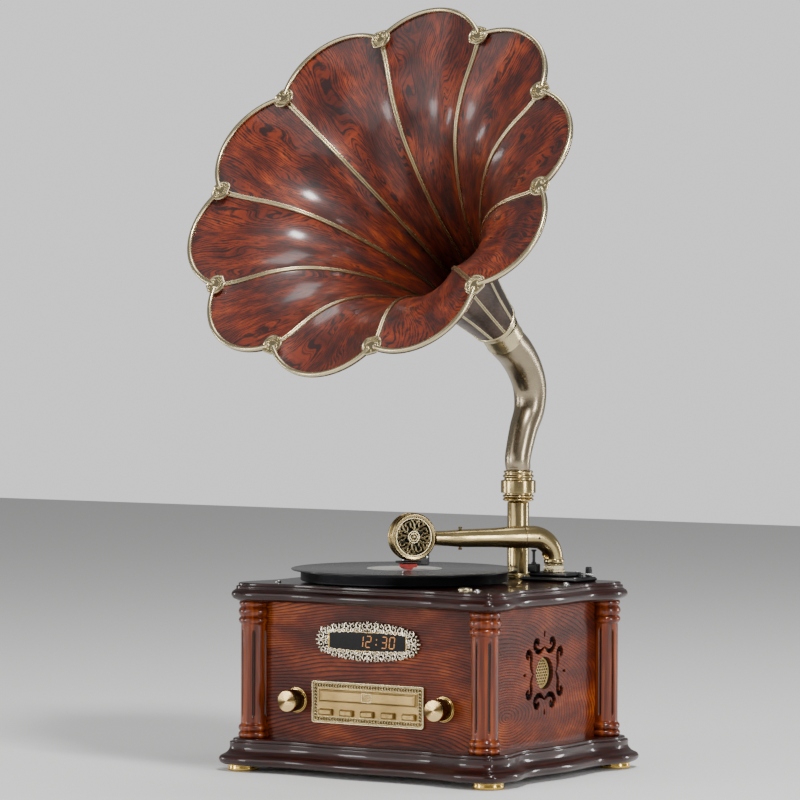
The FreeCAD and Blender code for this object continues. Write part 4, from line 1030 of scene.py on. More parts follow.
def make_tray_front(sizes):
    """The disc tray: a front with raised lines, two brackets at each end and a plain framed badge of two
    ovals, and a black bed behind it with a lip round the place for the disc."""
    at = (FRONT_OFFSET, -FRONT_FACE, TRAY_Z)
    shell = Shell()
    key_block(shell, 76.5, 7.7, 0.8, 4.4, at, corner=0.8)
    for sign in (-1, 1):
        for line in ([(sign * 73.5, -5.2), (sign * 73.5, 5.2)], [(sign * 71.4, -3.4), (sign * 71.4, 3.4)]):
            relief(shell, np.linspace(line[0], line[1], 8), 0.5, 0.5, 4.3, ends=0.8, origin=at, sides=5)
        relief(shell, np.linspace((-73, sign * 5.6), (73, sign * 5.6), 10), 0.4, 0.4, 4.3, ends=0.9,
               origin=at, sides=5)
    flat_frame(shell, 7.6, 5.6, 1.4, ((0.5, 4.3), (0.4, 5.0), (-0.4, 5.0), (-0.5, 4.3)), at, 2)
    for radius, half in ((3.9, 0.55), (1.3, 0.45)):
        a = np.linspace(0, 2 * np.pi, 30)
        relief(shell, np.stack([radius * 1.4 * np.cos(a), radius * np.sin(a)], 1), half, 0.7, 4.3, kind=2,
               ends=1.0, origin=at, sides=5)
    low, high = box_mm("disc_tray")
    left, right, near, back = low[0] + 12, high[0] - 12, -FRONT_FACE - 1, high[1]
    shell.grid(sheet_block((left, near, 101.8), (right, back, 105.8), 1.0), False, True, kind=1)
    a = np.linspace(0, 2 * np.pi, 96, endpoint=False)
    out = np.stack([np.cos(a), np.sin(a)], 1)
    half = np.array([right - left, back - near]) / 2
    reach = (half / np.maximum(np.abs(out), 1e-6)).min(1)
    outer = np.array([FRONT_OFFSET, (near + back) / 2]) + out * reach[:, None]
    circle = np.array([FRONT_OFFSET, -FRONT_FACE + 69]) + out * 60.5
    rings = [(circle, 105.8), (circle, 108.6), (outer, 108.8), (outer, 105.0)]
    shell.grid(layered(rings), True, False, kind=1)
    shell.finish("disc_tray_front", "disc_tray", "plate_gold",
                 [PAINTS["gold"], PAINTS["black"], PAINTS["pale_brass"]],
                 ["disc_tray"], sharp=30)


def make_knobs(sizes):
    """Two control knobs: a spun face with a bevelled edge on a fluted dark waist, and a stepped collar
    behind."""
    face = arc_section(((0, 25.2, 0), (12.9, 25.0, -0.3), (14.4, 23.6, 0), (14.5, 22.0, 0), (14.0, 21.4, 0),
                        (13.8, 20.0, 0)), 4)[:-1]
    for name, node, side in (("volume", "volume_knob", -1), ("tuning", "tuning_knob", 1)):
        at = (side * KNOB_X, -FRONT_FACE, KNOB_Z)
        shell = Shell()
        shell.grid(turned(face, 72, at, (0, -1, 0), (1, 0, 0)), True, False, kind=0)
        z = np.array([20.0, 18.5, 6.5, 4.6, 3.8, 3.7])
        base = np.array([13.8, 14.4, 14.4, 14.0, 13.2, 0.0])
        a = np.linspace(0, 2 * np.pi, 144, endpoint=False)[:, None]
        groove = 0.28 * (np.cos(36 * a) - 1) * ((z > 5) & (z < 19.5))[None]
        r = base[None] + groove
        waist = np.stack([r * np.cos(a), r * np.sin(a), np.broadcast_to(z, r.shape)], 2)
        shell.grid(stood(waist, at), True, False, kind=1)
        shell.finish(f"{name}_knob_brass", node, "polished_brass",
                     [PAINTS["knob_left" if side < 0 else "knob_right"], PAINTS["knob_side"]], [node],
                     outward=True)
    shell = Shell()
    ring = arc_section(((6, 3.0, 0), (14.4, 3.0, -0.4), (15.6, 1.8, 0), (15.8, 1.4, -0.5), (17.0, 0.2, 0),
                        (17.0, 0, 0)), 5)
    for side in (-1, 1):
        shell.grid(turned(ring[:-4], 64, (side * KNOB_X, -FRONT_FACE, KNOB_Z), (0, -1, 0), (1, 0, 0)), True,
                   False)
    shell.finish("knob_collar_brass", "cabinet", "polished_brass", PAINTS["brass"], ["knob_collars"])


# ---------------------------------------------------------------- turntable

def make_turntable(sizes):
    """The platter with its grooved rim, and the record on it with a raised edge and a paper label."""
    edge = np.linspace(264.6, 254.6, 21)
    grooves = [(138.3 - 0.3 * (k % 2), z) for k, z in enumerate(edge)]
    section = [(3.65, 266.4), (136.8, 266.4), (137.9, 266.0), (138.3, 265.2)] + grooves
    section += [(137.9, 253.3), (137.0, 252.8), (133.4, 252.8), (133.4, 262.9), (66, 262.9), (66, 253.2),
                (62, 253.2), (62, 262.9), (12, 262.9), (12, 253.2), (3.65, 253.2), (3.65, 266.4)]
    Shell().grid(turned(section, 160, SPINDLE), True, False).finish(
        "platter_turned", "platter_assembly", "platter_black", PAINTS["platter"], ["platter"], outward=True)
    shell = Shell()
    section = [(3.68, 266.5), (149.6, 266.5), (150.5, 266.8), (150.95, 267.4), (150.95, 267.8),
               (150.5, 268.4), (149.4, 268.68), (148.2, 268.5), (147.0, 268.3), (56, 268.3), (54, 268.36),
               (50.6, 268.6), (50.2, 268.5), (50.0, 268.4)]
    shell.grid(turned(section, 160, SPINDLE), True, False, flip=True, kind=0)
    section = [(50.0, 268.4), (50.0, 268.68), (49.6, 268.7), (3.68, 268.7), (3.68, 266.5)]
    shell.grid(turned(section, 160, SPINDLE), True, False, flip=True, kind=1)
    shell.finish("record_pressed", "platter_assembly", "record_vinyl", [PAINTS["vinyl"], PAINTS["label"]],
                 ["record"])
    paint_node("platter_spindle", "steel")
    paint_node("motor_pulley", "steel")
    paint_node("drive_belt", "rubber")


# ---------------------------------------------------------------- tonearm

AHEAD = np.array([math.cos(ARM_HEADING), math.sin(ARM_HEADING), 0.0])
RIGHT = np.array([-math.sin(ARM_HEADING), math.cos(ARM_HEADING), 0.0])
UP = np.array([0.0, 0.0, 1.0])


def arm_point(along, side, z):
    """A point beside the tonearm: along it from its foot, to its right, and its height."""
    return ARM_FOOT + AHEAD * along + RIGHT * side + UP * z


def arm_path(rows):
    """Tonearm stations (along, height, radius) as a path and its radii."""
    rows = np.asarray(rows, float)
    return arm_point(0, 0, 0) + AHEAD * rows[:, :1] + UP * rows[:, 1:2], rows[:, 2]


def around_path(path, radii, sides=40):
    """A round tube along a path in the tonearm's upright plane, closed at both ends."""
    return capped(swept(path, ring_section(1.0, sides), RIGHT, radii))


def make_arm_base(sizes):
    """The tonearm's foot: a six-sided brass block with bevelled edges, round a short neck."""
    shell = Shell()
    a = np.linspace(0, 2 * np.pi, 48, endpoint=False)
    hexagon = 1 / np.cos((a % (np.pi / 3)) - np.pi / 6)
    z = ARM_PLINTH_Z
    layers = []
    for radius, up in ((0.0, 0), (13.2, 0), (14.2, 0.8), (14.2, 3.4), (13.0, 4.0), (13.0, 9.0), (12.2, 10.3),
                       (0.0, 10.4)):
        r = radius * hexagon
        layers.append(np.stack([ARM_FOOT[0] + r * np.cos(a), ARM_FOOT[1] + r * np.sin(a),
                                np.full(48, z + up)], 1))
    shell.grid(np.stack(layers, 1), True, False)
    neck = [(0, z + 10.2), (7.95, z + 10.2), (7.95, z + 19.2), (7.4, z + 19.9), (0, z + 19.9)]
    shell.grid(turned(neck, 32, ARM_FOOT), True, False)
    shell.finish("arm_base_brass", "cabinet", "polished_brass", PAINTS["pale_brass"], ["tonearm_base"],
                 outward=True, sharp=25)


def make_elbow_tube(sizes):
    """The swan neck of the tonearm: a pipe that swells as it turns over, with a ring at its foot, a row of
    small fittings inside its bend and a near-black disc in each side, painted shade for a pivot hole."""
    z, foot = ARM_Z, ARM_PLINTH_Z + 11.2
    rows = [(0, foot, 10.4), (0, foot + 0.2, 13.0), (0, foot + 1.2, 13.6), (0, foot + 5.6, 13.6),
            (0, foot + 6.6, 13.0), (0, foot + 7.0, 11.9)]
    for k in range(16):
        a = math.radians(6 * k)
        swell = 12.0 + 2.9 * math.sin(a) ** 1.3
        rows.append((ARM_BEND * (1 - math.cos(a)), z - ARM_BEND + ARM_BEND * math.sin(a), swell))
    rows += [(39, z, 15.1), (44, z, 15.1), (45.4, z, 15.0), (45.8, z, 14.6)]
    path, radii = arm_path(rows)
    shell = Shell().grid(around_path(path, radii, 48))
    for side in (-1, 1):
        # Painted shade: a thin near-black disc stands for the pivot hole.
        hole = turned([(0, 0), (1.7, 0), (1.7, 0.25), (0, 0.25)], 20, arm_point(28, side * 14.75, z - 1),
                      RIGHT * side, AHEAD)
        shell.grid(hole, True, False, kind=1)
    for k, up in enumerate((0.0, 4.6, 9.2)):
        stud = turned([(0, 0), (2.6, 0), (2.6, 1.4), (1.8, 2.0), (1.8, 4.2), (0, 4.4)], 20,
                      arm_point(11.4, 4 - 4 * k, foot + 8 + up * 0.5), AHEAD, UP)
        shell.grid(stud, True, False, kind=2)
    shell.finish("arm_neck_tube", "arm_turret", "antique_brass",
                 [PAINTS["tube_brass"], PAINTS["dark"], PAINTS["brass"]],
                 ["tonearm_elbow"], outward=True, sharp=32)


def make_arm_tube(sizes):
    """The tonearm's long tube: thick at the elbow and tapering to the neck that enters the sound box, with
    a screw above and one below near its head."""
    z = ARM_Z
    rows = [(46.4, z, 14.6), (46.7, z, 15.0), (56, z, 14.9), (66, z, 14.4), (78, z, 13.4), (92, z, 12.7),
            (110, z, 12.3), (128, z, 12.0), (138, z, 11.6), (146, z, 10.9), (156, z + 0.2, 10.2),
            (166, z + 0.5, 9.8), (174.6, z + 0.6, 9.6)]
    path, radii = arm_path(rows)
    shell = Shell().grid(around_path(path, radii, 44))
    for sign in (-1, 1):
        screw = turned([(0, 11.2), (1.7, 11.2), (1.7, 12.8), (2.7, 12.8), (2.7, 14.8), (2.2, 15.2),
                        (0, 15.2)], 20,
                       arm_point(137, 0, z), UP * sign, AHEAD)
        shell.grid(screw, True, False, kind=1)
    shell.finish("arm_tube_brass", "tonearm", "antique_brass", [PAINTS["tube_brass"], PAINTS["knob_side"]],
                 ["tonearm_tube"], outward=True, sharp=32)


def make_sound_box(sizes):
    """The sound box: a drum with rolled edges and a near-black disc of painted shade behind an openwork
    face, four forked arms that end in curls, with a ringed boss at their middle."""
    centre = arm_point(SOUND_BOX_AT, 0, SOUND_BOX_Z)
    frame_of = (AHEAD, UP, RIGHT)
    shell = Shell()
    drum = arc_section(((0, -8.9, 0), (28.0, -8.9, 0), (30.2, -8.2, 0.7), (30.2, -4.4, 0), (29.4, -3.8, 0),
                        (29.4, 3.8, 0), (30.2, 4.4, 0.7), (30.4, 8.3, 0.4), (28.4, 8.9, 0), (26.6, 8.6, 0),
                        (26.6, 0.6, 0), (0, 0.6, 0)), 6)[:-1]
    shell.grid(turned(drum, 96, centre, RIGHT, AHEAD), True, False, kind=0)
    # Painted shade: a near-black disc just behind the openwork, seen through it.
    ground = [(0, 0.9), (26.4, 0.9), (26.4, 0.7)]
    shell.grid(turned(ground, 64, centre, RIGHT, AHEAD), True, False, kind=1)
    shell.finish("sound_box_drum", "tonearm", "antique_brass", [PAINTS["tube_brass"], PAINTS["dark"]],
                 ["sound_box"], outward=True)
    shell = Shell()
    for radius, out, thick in ((25.0, 6.4, 1.4), (7.6, 6.4, 1.3), (5.0, 6.9, 0.8)):
        ring = [(radius + thick * math.cos(b), out + thick * math.sin(b)) for b in np.linspace(0, 2 * np.pi,
                                                                                               11)]
        shell.grid(turned(ring, 64, centre, RIGHT, AHEAD), True, False)
    boss = [(0, 3.0), (5.6, 3.0), (5.6, 5.4), (3.4, 6.0), (2.6, 8.2), (1.2, 8.9), (0, 8.9)]
    shell.grid(turned(boss, 40, centre, RIGHT, AHEAD), True, False)
    for k in range(4):
        a = k * np.pi / 2 + 0.35
        way = np.array([math.cos(a), math.sin(a)])
        across = np.array([-way[1], way[0]])
        for hand in (-1, 1):
            arm = smooth_line([way * 6.5 + across * hand * 2, way * 12 + across * hand * 2.4,
                               way * 17 + across * hand * 5.6, way * 21.5 + across * hand * 11.5], 24)
            relief(shell, arm, 1.7, 2.2, 4.9, ends=0.75, stand=frame_of, origin=centre)
            curl = smooth_line([way * 14 + across * hand * 3.4, way * 20 + across * hand * 1.6,
                                way * 22.6 + across * hand * 5.0, way * 20.2 + across * hand * 8.0,
                                way * 17.4 + across * hand * 6.6], 24)
            relief(shell, curl, 1.5, 2.1, 4.9, ends=0.7, stand=frame_of, origin=centre)
            side_curl = smooth_line([way * 10 + across * hand * 3, way * 11.5 + across * hand * 8,
                                     way * 15.4 + across * hand * 10.2, way * 16.6 + across * hand * 13.6,
                                     way * 13.6 + across * hand * 14.6], 24)
            relief(shell, side_curl, 1.4, 2.0, 4.9, ends=0.7, stand=frame_of, origin=centre)
        dome(shell, *(way * 22.6), 2.6, 1.6, 2.2, a, 4.9, stand=frame_of, origin=centre)
    shell.finish("sound_box_openwork", "tonearm", "antique_brass", PAINTS["pale_brass"], ["sound_box_face"],
                 outward=True)


def along_arm(p):
    """Points given along the tonearm, to its right and up, in the object's place."""
    p = np.asarray(p, float)
    return ARM_FOOT + p[..., :1] * AHEAD + p[..., 1:2] * RIGHT + p[..., 2:] * UP


def make_cartridge(sizes):
    """The cartridge's dark carrier and bracket under the sound box, and the red stylus in its cut-away
    cover."""
    at, low = SOUND_BOX_AT, RECORD_Z
    shell = Shell()
    shell.grid(along_arm(sheet_block((at - 12, -14, low + 8.7), (at + 18, 6, low + 12.1), 1.2)), False, True,
               flip=True)
    bracket = sheet_block((at - 30, -18, low + 5.1), (at - 11.9, -9.5, low + 23.2), 1.6)
    shell.grid(along_arm(bracket), False, True, flip=True)
    for x in (at - 26, at - 17):
        pin = turned([(0, 0), (1.5, 0), (1.5, 0.8), (0, 1.0)], 16, along_arm((x, -9.5, low + 16)), RIGHT,
                     AHEAD)
        shell.grid(pin, True, False, kind=1)
    shell.finish("cartridge_body", "tonearm", "black_plastic", [PAINTS["black"], PAINTS["steel"]],
                 ["cartridge"], outward=True, sharp=28)
    shell = Shell()
    outline = np.array([(at - 5.8, low + 8.4), (at + 16, low + 8.4), (at + 16, low + 4.6),
                        (at + 11, low + 1.6), (at + 4, low + 0.6), (at + 2.6, low + 0.5),
                        (at - 1, low + 3.4), (at - 5.8, low + 3.8)])
    middle = outline.mean(0)
    layers = []
    for side, share in ((-4, 0.0), (-4, 0.94), (-3.4, 1.0), (5.4, 1.0), (6, 0.94), (6, 0.0)):
        ring = middle + (outline - middle) * share
        layers.append(np.stack([ring[:, 0], np.full(len(ring), side), ring[:, 1]], 1))
    shell.grid(along_arm(np.stack(layers, 1)), True, False)
    shell.finish("stylus_cover", "tonearm", "stylus_red", PAINTS["red"], ["stylus"], outward=True, sharp=30)


def make_deck_fittings(sizes):
    """The small things on the deck: the tonearm's stepped plinth with its rest and lift, speed knob, lever,
    adapter ring and dome-headed screws."""
    shell = Shell()
    for low, high, edge in (
            ((86, 86, DECK_Z), (174, 144, ARM_STEP_Z), 3.0),
            ((94, 92, ARM_STEP_Z - 0.1), (156, 136, ARM_PLINTH_Z), 3.0),
            ((94, 92, ARM_PLINTH_Z - 0.1), (108, 104, 272.8), 1.2)):
        shell.grid(sheet_block(low, high, edge), False, True)
    lift = [(0, 272.6), (3.4, 272.6), (3.4, 274.4), (2.0, 275.2), (2.0, 289), (3.6, 290), (3.6, 291.2),
            (3.0, 291.8), (0, 291.8)]
    shell.grid(turned(lift, 28, (101, 98, 0)), True, False)
    for x, y, top in ((90.5, 90.5, ARM_STEP_Z), (169.5, 90.5, ARM_STEP_Z), (90.5, 139.5, ARM_STEP_Z),
                      (149, 130, ARM_PLINTH_Z)):
        head = [(0, top - 0.1), (2.4, top - 0.1), (2.4, top + 0.5), (1.8, top + 0.9), (0, top + 1.0)]
        shell.grid(turned(head, 20, (x, y, 0)), True, False, kind=1)
    shell.finish("arm_plinth_rest", "cabinet", "black_plastic", [PAINTS["black"], PAINTS["steel"]],
                 ["arm_rest"], outward=True, sharp=28)
    shell = Shell()
    foot = ARM_STEP_Z + 0.3
    z = foot + np.array([0, 0, 0.5, 0.9, 10.5, 11.5, 12.6, 12.9, 12.9])
    base = np.array([0, 3.9, 4.4, 4.5, 4.5, 4.4, 4.0, 3.4, 0])
    a = np.linspace(0, 2 * np.pi, 80, endpoint=False)[:, None]
    r = base[None] - 0.25 * (1 + np.cos(20 * a)) / 2 * ((z > foot + 0.7) & (z < foot + 11))[None]
    knob = np.stack([164 + r * np.cos(a), 136 + r * np.sin(a), np.broadcast_to(z, r.shape)], 2)
    shell.grid(knob, True, False)
    shell.finish("speed_knob_knurled", "speed_knob", "black_plastic", PAINTS["black"], ["speed_knob"],
                 outward=True)
    shell = Shell()
    pivot = [(0, foot), (3.9, foot), (3.9, foot + 5.3), (3.2, foot + 6.0), (0, foot + 6.0)]
    shell.grid(turned(pivot, 36, (166, 112, 0)), True, False)
    shell.grid(sheet_block((168, 109.5, foot + 3), (184, 114.5, foot + 5.5), 0.7), False, True, kind=1)
    shell.finish("lift_lever_flat", "lift_lever", "black_plastic", [PAINTS["black"], PAINTS["steel"]],
                 ["lift_lever"], outward=True)
    shell = Shell()
    ring = arc_section(((3.75, DECK_Z, 0), (9.9, DECK_Z, 0), (9.9, 250.8, 0.4), (8.4, 252.4, 0),
                        (6.2, 252.8, 0), (3.75, 252.8, 0)), 4)
    shell.grid(turned(ring, 64, (130, -117, 0)), True, True)
    shell.finish("adapter_ring_brass", "cabinet", "black_plastic", PAINTS["pale_brass"], ["record_adapter"],
                 outward=True)
    shell = Shell()
    dome_top = [(0, DECK_Z), (4.4, DECK_Z), (4.4, 250.3), (4.0, 251.2), (3.0, 252.1), (1.6, 252.6),
                (0, 252.75)]
    for x, y in ((157, -130), (-157, -130), (-170, 120), (175, 60)):
        shell.grid(turned(dome_top, 32, (x, y, 0)), True, False)
    shell.finish("deck_screws_domed", "cabinet", "steel", PAINTS["steel"], ["deck_screws"], outward=True)


# ---------------------------------------------------------------- horn

OUT = np.array([0.0, -math.cos(HORN_TILT), math.sin(HORN_TILT)])
OVER = np.array([0.0, math.sin(HORN_TILT), math.cos(HORN_TILT)])
ACROSS = np.array([1.0, 0.0, 0.0])


def wall_line(count, start=-1.6):
    """Stations of the horn's wall from its flared edge to its throat, as how far back and the radius
    there."""
    return smooth_line(((start, HORN_WALL[0][1] + 3.2),) + HORN_WALL, count)


def horn_place(back, u, v):
    """A point of the horn by how far back of the mouth it is, and its place across and over the axis."""
    return HORN_MOUTH - OUT * back[..., None] + ACROSS * u[..., None] + OVER * v[..., None]


def petal(k, line, across):
    """One petal's inner skin. At each station its section is the arc from rib to rib whose middle stands
    out by the full rise times the share (r - throat) / (mouth - throat), to the power 1.2."""
    back, radius = line[:, :1], line[:, 1:]
    share = np.clip((radius - HORN_WALL[-1][1]) / (HORN_WALL[0][1] - HORN_WALL[-1][1]), 0, 1.2)
    crown = radius + LOBE_RISE * share ** 1.2
    half = np.pi / PETALS
    chord = radius * math.sin(half)
    rise = crown - radius * math.cos(half)
    bend = (chord ** 2 + rise ** 2) / (2 * rise)
    reach = np.arcsin(np.clip(chord / bend, 0, 1))
    turn = reach * across[None]
    side = bend * np.sin(turn)
    far = crown - bend * (1 - np.cos(turn))
    a = 2 * half * (k + 0.5)
    u = far * math.cos(a) - side * math.sin(a)
    v = far * math.sin(a) + side * math.cos(a)
    return horn_place(np.broadcast_to(back, u.shape), u, v)


def normals_of(p):
    """The unit normal at each point of a grid."""
    n = np.cross(np.gradient(p, axis=0), np.gradient(p, axis=1))
    return n / np.maximum(np.linalg.norm(n, axis=2), 1e-9)[..., None]


def make_petals(sizes):
    """Ten lobed petals: lacquered rosewood figure within, dark metal without, joined round their front
    edge."""
    line = wall_line(110)
    across = np.linspace(-1, 1, 33)
    run = run_along(line)
    # Painted shade: from 150 mm behind the mouth the inner skin darkens towards the throat, up to 0.75.
    deep = np.clip((line[:, 0] - 150) / 170, 0, 0.75)[:, None] + 0 * across[None]
    shell = Shell()
    for k in range(PETALS):
        inner = petal(k, line, across)
        normal = normals_of(inner)
        away = inner - HORN_MOUTH
        away = away - (away @ OUT)[..., None] * OUT
        if (normal * away).sum() < 0:
            normal = -normal
        outer = inner + 1.7 * normal
        u = 0.055 * across[None] + 0 * run[:, None] + 0.37 * k
        v = 0.001 * run[:, None] + 0 * across[None] + 0.61 * k
        uv = np.stack([u, v], 2)
        shell.grid(inner, flip=True, kind=0, uv=uv, shade=deep)
        shell.grid(outer, flip=False, kind=1, uv=uv)
        shell.grid(np.stack([inner[0], outer[0]], 0), flip=False, kind=1)
    shell.finish("horn_petals_lacquered", "horn", "horn_lacquer", [PAINTS["rosewood"], PAINTS["dark_shell"]],
                 ["horn_petals"], sharp=60)


def make_ribs(sizes):
    """Ten ribs that cover the seams between petals: two beads side by side with a groove between, inside
    and out."""
    line = wall_line(100, 1.0)
    line[:, 1] = np.minimum(line[:, 1], 245.0)
    s = np.linspace(-3.7, 3.7, 19)
    h = 0.95 + 1.7 * np.abs(np.sin(np.pi * s / 3.7)) ** 0.7
    section = np.concatenate([np.stack([h, s], 1), np.stack([-h[::-1], s[::-1]], 1)])
    # Painted shade: the groove between the beads is darkened by 0.75 and one side of each rib by 0.12.
    dark = np.concatenate([0.75 * (np.abs(s) < 0.3) + 0.12 * (s > 0.6)] * 2)
    scale = np.linspace(1.0, 0.6, len(line))
    shell = Shell()
    for k in range(PETALS):
        a = 2 * np.pi * k / PETALS
        out = line[:, 1] + 0.9
        path = horn_place(line[:, 0], out * math.cos(a), out * math.sin(a))
        sideways = -ACROSS * math.sin(a) + OVER * math.cos(a)
        p = swept(path, section, sideways, scale)
        shell.grid(capped(p), False, True, shade=np.broadcast_to(dark, (len(path) + 2, len(section))))
    shell.finish("horn_rib_beads", "horn", "antique_brass", PAINTS["pale_brass"], ["horn_ribs"],
                 outward=True, sharp=40)


def make_rim(sizes):
    """The rolled rim: a round bead along each petal's edge, an arc from medallion to medallion, 3.5 mm
    before the mouth."""
    shell = Shell()
    half = np.pi / PETALS
    crown, radius = HORN_WALL[0][1] + LOBE_RISE + 2, MEDALLION_AT
    chord, rise = radius * math.sin(half), crown - radius * math.cos(half)
    bend = (chord ** 2 + rise ** 2) / (2 * rise)
    reach = math.asin(chord / bend)
    turn = np.linspace(-reach * 0.93, reach * 0.93, 61)
    for k in range(PETALS):
        a = 2 * half * (k + 0.5)
        side, far = bend * np.sin(turn), crown - bend * (1 - np.cos(turn))
        u, v = far * math.cos(a) - side * math.sin(a), far * math.sin(a) + side * math.cos(a)
        path = horn_place(np.full_like(u, -3.5), u, v)
        shell.grid(capped(swept(path, ring_section(3.15, 14), OUT)), False, True)
    shell.finish("horn_rim_rolled", "horn", "antique_brass", PAINTS["pale_brass"], ["horn_rim"],
                 outward=True)


def make_medallions(sizes):
    """Ten cast medallions, one over each rib's end: an oval with a raised edge, two spiral scrolls, a fan
    of three strands on each side under them and a leaf above."""
    shell = Shell()
    a = np.linspace(0, 2 * np.pi, 48, endpoint=False)
    wide, tall = 14.3, 14.5
    notch = 1 - 0.10 * np.exp(-((np.abs(np.sin(a)) - 1) / 0.06) ** 2)
    oval = np.stack([wide * np.cos(a), tall * np.sin(a) * notch], 1)
    layers = ((0.0, 0.0), (0.97, 0.0), (1.0, 0.8), (1.0, 2.6), (0.94, 3.5), (0.86, 3.6), (0.80, 2.8),
              (0.0, 2.9))
    body = layered([(oval * share, z) for share, z in layers])
    # Painted shade: the ground inside the raised edge is darkened by 0.22.
    dark = np.broadcast_to([0, 0, 0, 0, 0, 0, 0.22, 0.22], (48, 8))
    for k in range(PETALS):
        turn = 2 * np.pi * k / PETALS
        radial = ACROSS * math.cos(turn) + OVER * math.sin(turn)
        tangent = -ACROSS * math.sin(turn) + OVER * math.cos(turn)
        stand = (-tangent, radial, OUT)
        origin = HORN_MOUTH + OUT * 1.6 + radial * MEDALLION_AT
        shell.grid(turn_points(body, stand) + origin, True, False, shade=dark)
        for hand in (-1, 1):
            line = spiral(hand * 5.8, 3.4, 5.1, -np.pi / 2, 1.3, hand, 32)
            relief(shell, line, 1.3, 1.8, 2.7, ends=0.7, stand=stand, origin=origin, sides=7)
            dome(shell, hand * 5.8, 3.4, 1.4, 1.4, 2.0, 0.0, 2.7, stand=stand, origin=origin)
            for low, wide_at in ((-4.8, 9.0), (-7.6, 7.4), (-10.0, 5.0)):
                fan = smooth_line([(0, low - 1.4), (hand * wide_at / 2, low - 0.2),
                                   (hand * wide_at, low + 1.6)], 12)
                relief(shell, fan, 1.0, 1.5, 2.7, ends=0.6, stand=stand, origin=origin, sides=6)
        dome(shell, 0, 9.4, 2.6, 1.3, 1.8, np.pi / 2, 2.7, stand=stand, origin=origin, pointed=0.5)
    shell.finish("horn_medallions_cast", "horn", "antique_brass", PAINTS["pale_brass"], ["horn_medallions"],
                 outward=True)


def make_neck(sizes):
    """The throat ring, and the swan neck that carries the horn: a smooth pipe that bends back and forward
    again, with a pale band under the ring and a near-black disc at its upper end, painted shade for its
    bore."""
    end = HORN_MOUTH - OUT * 322.3
    ring = arc_section(((24.2, 0, 0), (30.6, 0, 0), (31.2, 0.8, 0.9), (31.2, 4.6, 0), (29.6, 5.4, 0),
                        (29.2, 11.9, 0), (24.2, 11.9, 0)), 6)
    Shell().grid(turned(ring, 72, end, -OUT, ACROSS), True, True).finish(
        "horn_throat_ring", "horn", "antique_brass", PAINTS["pale_brass"], ["throat_ring"], outward=True)
    bends = [(-1, 396.2, 16.2), (-1, 400, 16.9), (-1, 415, 17.6), (12, 450, 19.0), (27, 478, 20.8),
             (28, 508, 22.8), (14, 534, 24.1), (-9, 556, 25.1), (-34, 572, 25.8)]
    last = HORN_MOUTH - OUT * 334.9
    rows = [(POST[0], POST[1] + forward, z, r) for forward, z,
            r in bends] + [(last[0], last[1], last[2], 26.8)]
    line = smooth_line(rows, 120)
    p = swept(line[:, :3], ring_section(1.0, 64), ACROSS, line[:, 3])
    shell = Shell().grid(capped(p), False, True, kind=0)
    band = smooth_line(rows, 240)[214:236]
    swell = band[:, 3] + 0.45 + 0.55 * np.isin(np.arange(len(band)), (0, 1, 20, 21))
    shell.grid(swept(band[:, :3], ring_section(1.0, 64), ACROSS, swell), False, True, kind=1)
    # Painted shade: a near-black disc over the pipe's closed end stands for the dark bore.
    bore_shade_disc = turned([(0, 0.5), (25.6, 0.5), (26.2, 0.1), (0, 0.1)], 64, last, OUT, ACROSS)
    shell.grid(bore_shade_disc, True, False, kind=2)
    shell.finish("horn_neck_pipe", "horn", "antique_bronze",
                 [PAINTS["bronze"], PAINTS["pale_brass"], PAINTS["hole_shade_black"]], ["horn_elbow"], outward=True,
                 sharp=50)


def make_post(sizes):
    """The turned brass post with its flange, and the ringed collar that the swan neck turns in."""
    shell = Shell()
    post = [(0, 250), (14.8, 250), (14.8, 351.5), (14.2, 352.6), (13.2, 353.9), (9.9, 353.9), (9.9, 394.8),
            (0, 394.8)]
    shell.grid(turned(post, 72, (POST[0], POST[1], 0)), True, False)
    shell.finish("horn_post_turned", "cabinet", "polished_brass", PAINTS["tube_brass"], ["horn_post"],
                 outward=True)
    flange = arc_section(((14.95, 249.8, 0), (23.9, 249.8, 0), (23.9, 251.4, 0.5), (21.6, 253.2, 0),
                          (20.4, 253.4, 0.6), (17.4, 255.6, 0), (16.6, 256.8, 0), (14.95, 256.8, 0)), 5)
    shell = Shell().grid(turned(flange, 72, (POST[0], POST[1], 0)), True, True)
    shell.finish("post_flange_turned", "cabinet", "polished_brass", PAINTS["tube_brass"], ["post_flange"],
                 outward=True)
    collar = arc_section((
        (10.1, 354.3, 0), (19.6, 354.3, 0.8), (19.6, 358.0, 0), (18.6, 358.4, 0), (19.8, 359.0, 0.8),
        (19.8, 362.6, 0), (18.4, 363.2, 0), (18.4, 364.8, 0), (23.0, 365.2, 0.4), (23.6, 366.0, 0),
        (23.6, 381.4, 0.4), (23.0, 382.0, 0), (19.0, 383.2, 0), (19.0, 385.4, 0), (19.8, 386.0, 0.7),
        (19.8, 389.6, 0), (18.6, 390.2, 0), (18.6, 392.0, 0), (19.6, 392.4, 0.6), (17.8, 395.6, 0),
        (10.1, 395.6, 0)), 6)
    shell = Shell().grid(turned(collar, 80, (POST[0], POST[1], 0)), True, True)
    shell.finish("horn_collar_turned", "horn", "polished_brass", PAINTS["tube_brass"], ["horn_collar"],
                 outward=True)


# ---------------------------------------------------------------- rear, works, stage

def paint_plain_nodes(sizes):
    """Finishes for the pieces whose frame shape is already their own: panels, boards and the works."""
    for paint, nodes in {
        "ash_front": ("front_panel", "rear_panel"),
        "fibreboard": ("bottom_board",),
        "black": ("speakers", "horn_driver", "mains_inlet", "power_rocker"),
        "steel": ("drive_motor", "transformer", "disc_drive"),
        "brass": ("platter_bearing",),
        "board": ("main_board", "button_board"),
    }.items():
        for node in nodes:
            paint_node(node, paint)


